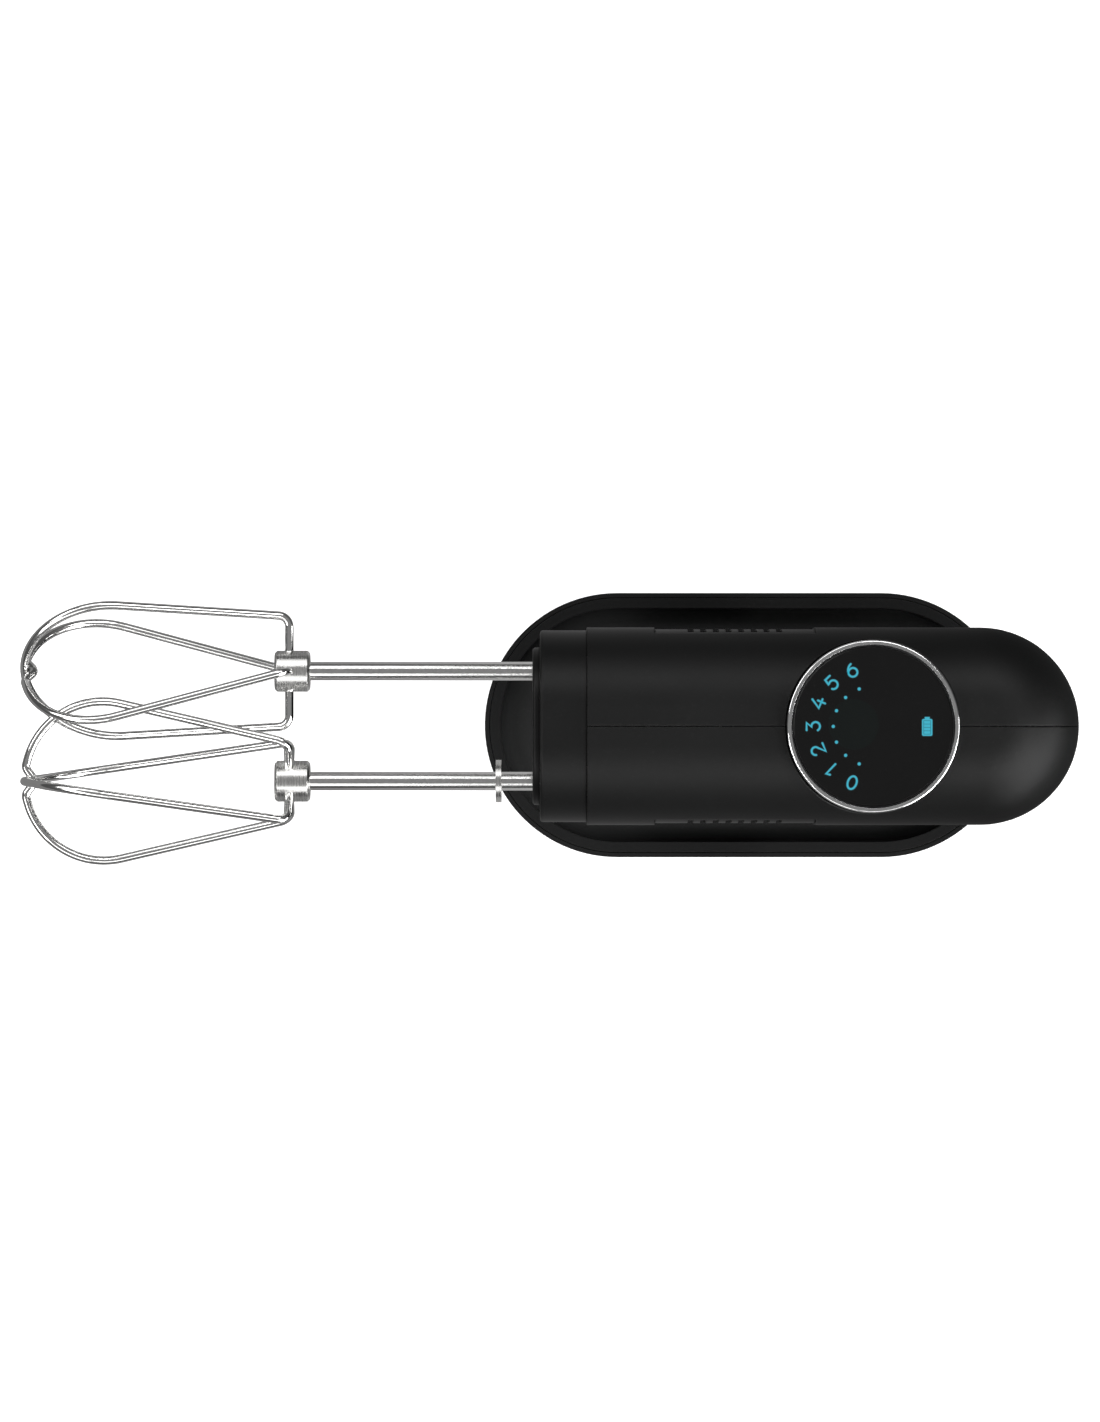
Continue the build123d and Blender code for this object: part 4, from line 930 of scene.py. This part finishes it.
def draw_cell_lines(mesh):
    """The line round the cells and the three lines between them."""
    half_x, half_y = sign_size[0] / 2 - line_inset, sign_size[1] / 2 - line_inset
    corners = [(sign_x + sx * half_x, sign_y + sy * half_y) for sx, sy in quarters]
    ribbon(mesh, corners, sign_line, closed=True)
    for share in (-0.5, 0.0, 0.5):
        y = sign_y + share * half_y
        ribbon(mesh, [(sign_x - half_x, y), (sign_x + half_x, y)], sign_line)


# %% [markdown]
# ### Light through the glass
# The markings give off their own light. A wider and much weaker copy lies under each of them: it
# is the glow that spreads inside the glass. A faint unevenness keeps the light from looking
# printed.

# %% Marking finishes and pieces
unlit = (0.004, 0.02, 0.024, 1)
dimmest = 0.88          # share of the light left where a marking is weakest


def glowing(name, colour, strength):
    """A finish that gives off light of its own, a little unevenly."""
    material, tree, shader = start_finish(name, Roughness=0.4, Emission_Strength=strength)
    shader.inputs["Base Color"].default_value = unlit
    where = add(tree, "ShaderNodeTexCoord")
    haze = add(tree, "ShaderNodeTexNoise", {"Scale": 700.0, "Detail": 2.0})
    tree.links.new(where.outputs["Object"], haze.inputs["Vector"])
    dimmer = tuple(dimmest * part for part in colour)
    colours = blend_colours(tree, haze.outputs["Fac"], dimmer, colour)
    tree.links.new(colours, shader.inputs["Emission Color"])
    return material


def marking(name, draw, lift, thickness, material):
    """A flat piece drawn on the glass, riding with the mixer."""
    mesh = bmesh.new()
    draw(mesh)
    bmesh.ops.recalc_face_normals(mesh, faces=mesh.faces)
    for face in mesh.faces:
        if face.normal.z < 0:
            face.normal_flip()
    data = bpy.data.meshes.new(name)
    mesh.to_mesh(data)
    mesh.free()
    piece = bpy.data.objects.new(name, data)
    piece.location.z = glass_top + lift
    bpy.context.scene.collection.objects.link(piece)
    solid = piece.modifiers.new("thickness", "SOLIDIFY")
    solid.thickness = thickness
    solid.offset = -1.0
    piece.data.materials.append(material)
    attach(piece, "mixer")
    return piece


cyan = (0.030, 0.42, 0.56)
lit = glowing("lit_marking", cyan, 1.0)
halo = glowing("marking_glow", (0.010, 0.075, 0.095), 1.0)
parting = glowing("cell_line", (0.008, 0.15, 0.21), 1.0)
halo_spread = 0.16 * mm
halo_widening = 0.36 * mm
marking_thickness = 0.012 * mm
halo_lift = 0.015 * mm          # tops of the three layers above the glass
lit_lift = 0.03 * mm
parting_lift = 0.045 * mm


def draw_lit(mesh):
    draw_markings(mesh, stroke_width, 0.0)
    draw_battery(mesh, 0.0)


def draw_halo(mesh):
    draw_markings(mesh, stroke_width + halo_widening, halo_spread)
    draw_battery(mesh, halo_spread)


marking("display_glow", draw_halo, halo_lift, marking_thickness, halo)
marking("display_markings", draw_lit, lit_lift, marking_thickness, lit)
marking("battery_sign_lines", draw_cell_lines, parting_lift, marking_thickness, parting)
print("markings lie at", round(glass_top / mm, 2), "mm")


# %% [markdown]
# ## Ribs on the grip
# The rubber pad let into the back of the handle has shallow ribs across it, so that wet fingers
# hold. Each rib is a round bar that follows the pad's rounded back and lies half sunk in it. A
# curve with a round bevel does that exactly, and its ends sink deeper into the rubber.

# %% Grip ribs
pad_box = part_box("grip_pad")
handle_corner = 16.0 * mm
handle_half_width = 21.0 * mm
rib_radius = 0.55 * mm
rib_sunk = 0.3 * mm
rib_count = 13
rib_end_margin = 9.0 * mm
rib_half_length = 9.0 * mm
rib_end_sink = 0.4 * mm         # how much deeper a rib's ends lie than its middle
rib_end_power = 6               # the higher, the closer to its ends a rib starts to sink
rib_steps = 12
flat_half = handle_half_width - handle_corner


def pad_surface(y):
    """How far back the handle reaches at a distance from its middle."""
    over = max(0.0, abs(y) - flat_half)
    return pad_box[1][0] - handle_corner + math.sqrt(handle_corner ** 2 - over ** 2)


rib_line = bpy.data.curves.new("grip_ribs", "CURVE")
rib_line.dimensions = "3D"
rib_line.bevel_depth = rib_radius
rib_line.bevel_resolution = 3
rib_line.use_fill_caps = True
rib_low = pad_box[0][2] + rib_end_margin
rib_high = pad_box[1][2] - rib_end_margin
for row in range(rib_count):
    z = rib_low + (rib_high - rib_low) * row / (rib_count - 1)
    spline = rib_line.splines.new("POLY")
    spline.points.add(rib_steps)
    for i in range(rib_steps + 1):
        y = rib_half_length * (2 * i / rib_steps - 1)
        sink = rib_sunk + rib_end_sink * abs(y / rib_half_length) ** rib_end_power
        spline.points[i].co = (pad_surface(y) - sink, y, z, 1)
ribs = bpy.data.objects.new("grip_ribs", rib_line)
bpy.context.scene.collection.objects.link(ribs)
ribs.data.materials.append(finishes["soft_rubber"])
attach(ribs, "mixer")
print("ribs:", rib_count, "from", round(rib_low / mm), "to", round(rib_high / mm), "mm")

# %% [markdown]
# ## Springs
# The charging pins and the eject rod push on coil springs. Each spring here is a copy of the packed
# one with a mesh of its own, riding with its body, and the packed one is hidden.


def giving_spring(node, body):
    """A copy of the packed coil that rides with the body, while the packed one is hidden."""
    coil = bpy.data.objects.new(node + "_giving", frame["nodes"][node].data.copy())
    bpy.context.scene.collection.objects.link(coil)
    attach(coil, body)
    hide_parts(node)
    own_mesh(coil)


giving_spring("charge_pin_springs", "charging_base")
giving_spring("eject_spring", "mixer")

# %% Finish
print("scene set up")
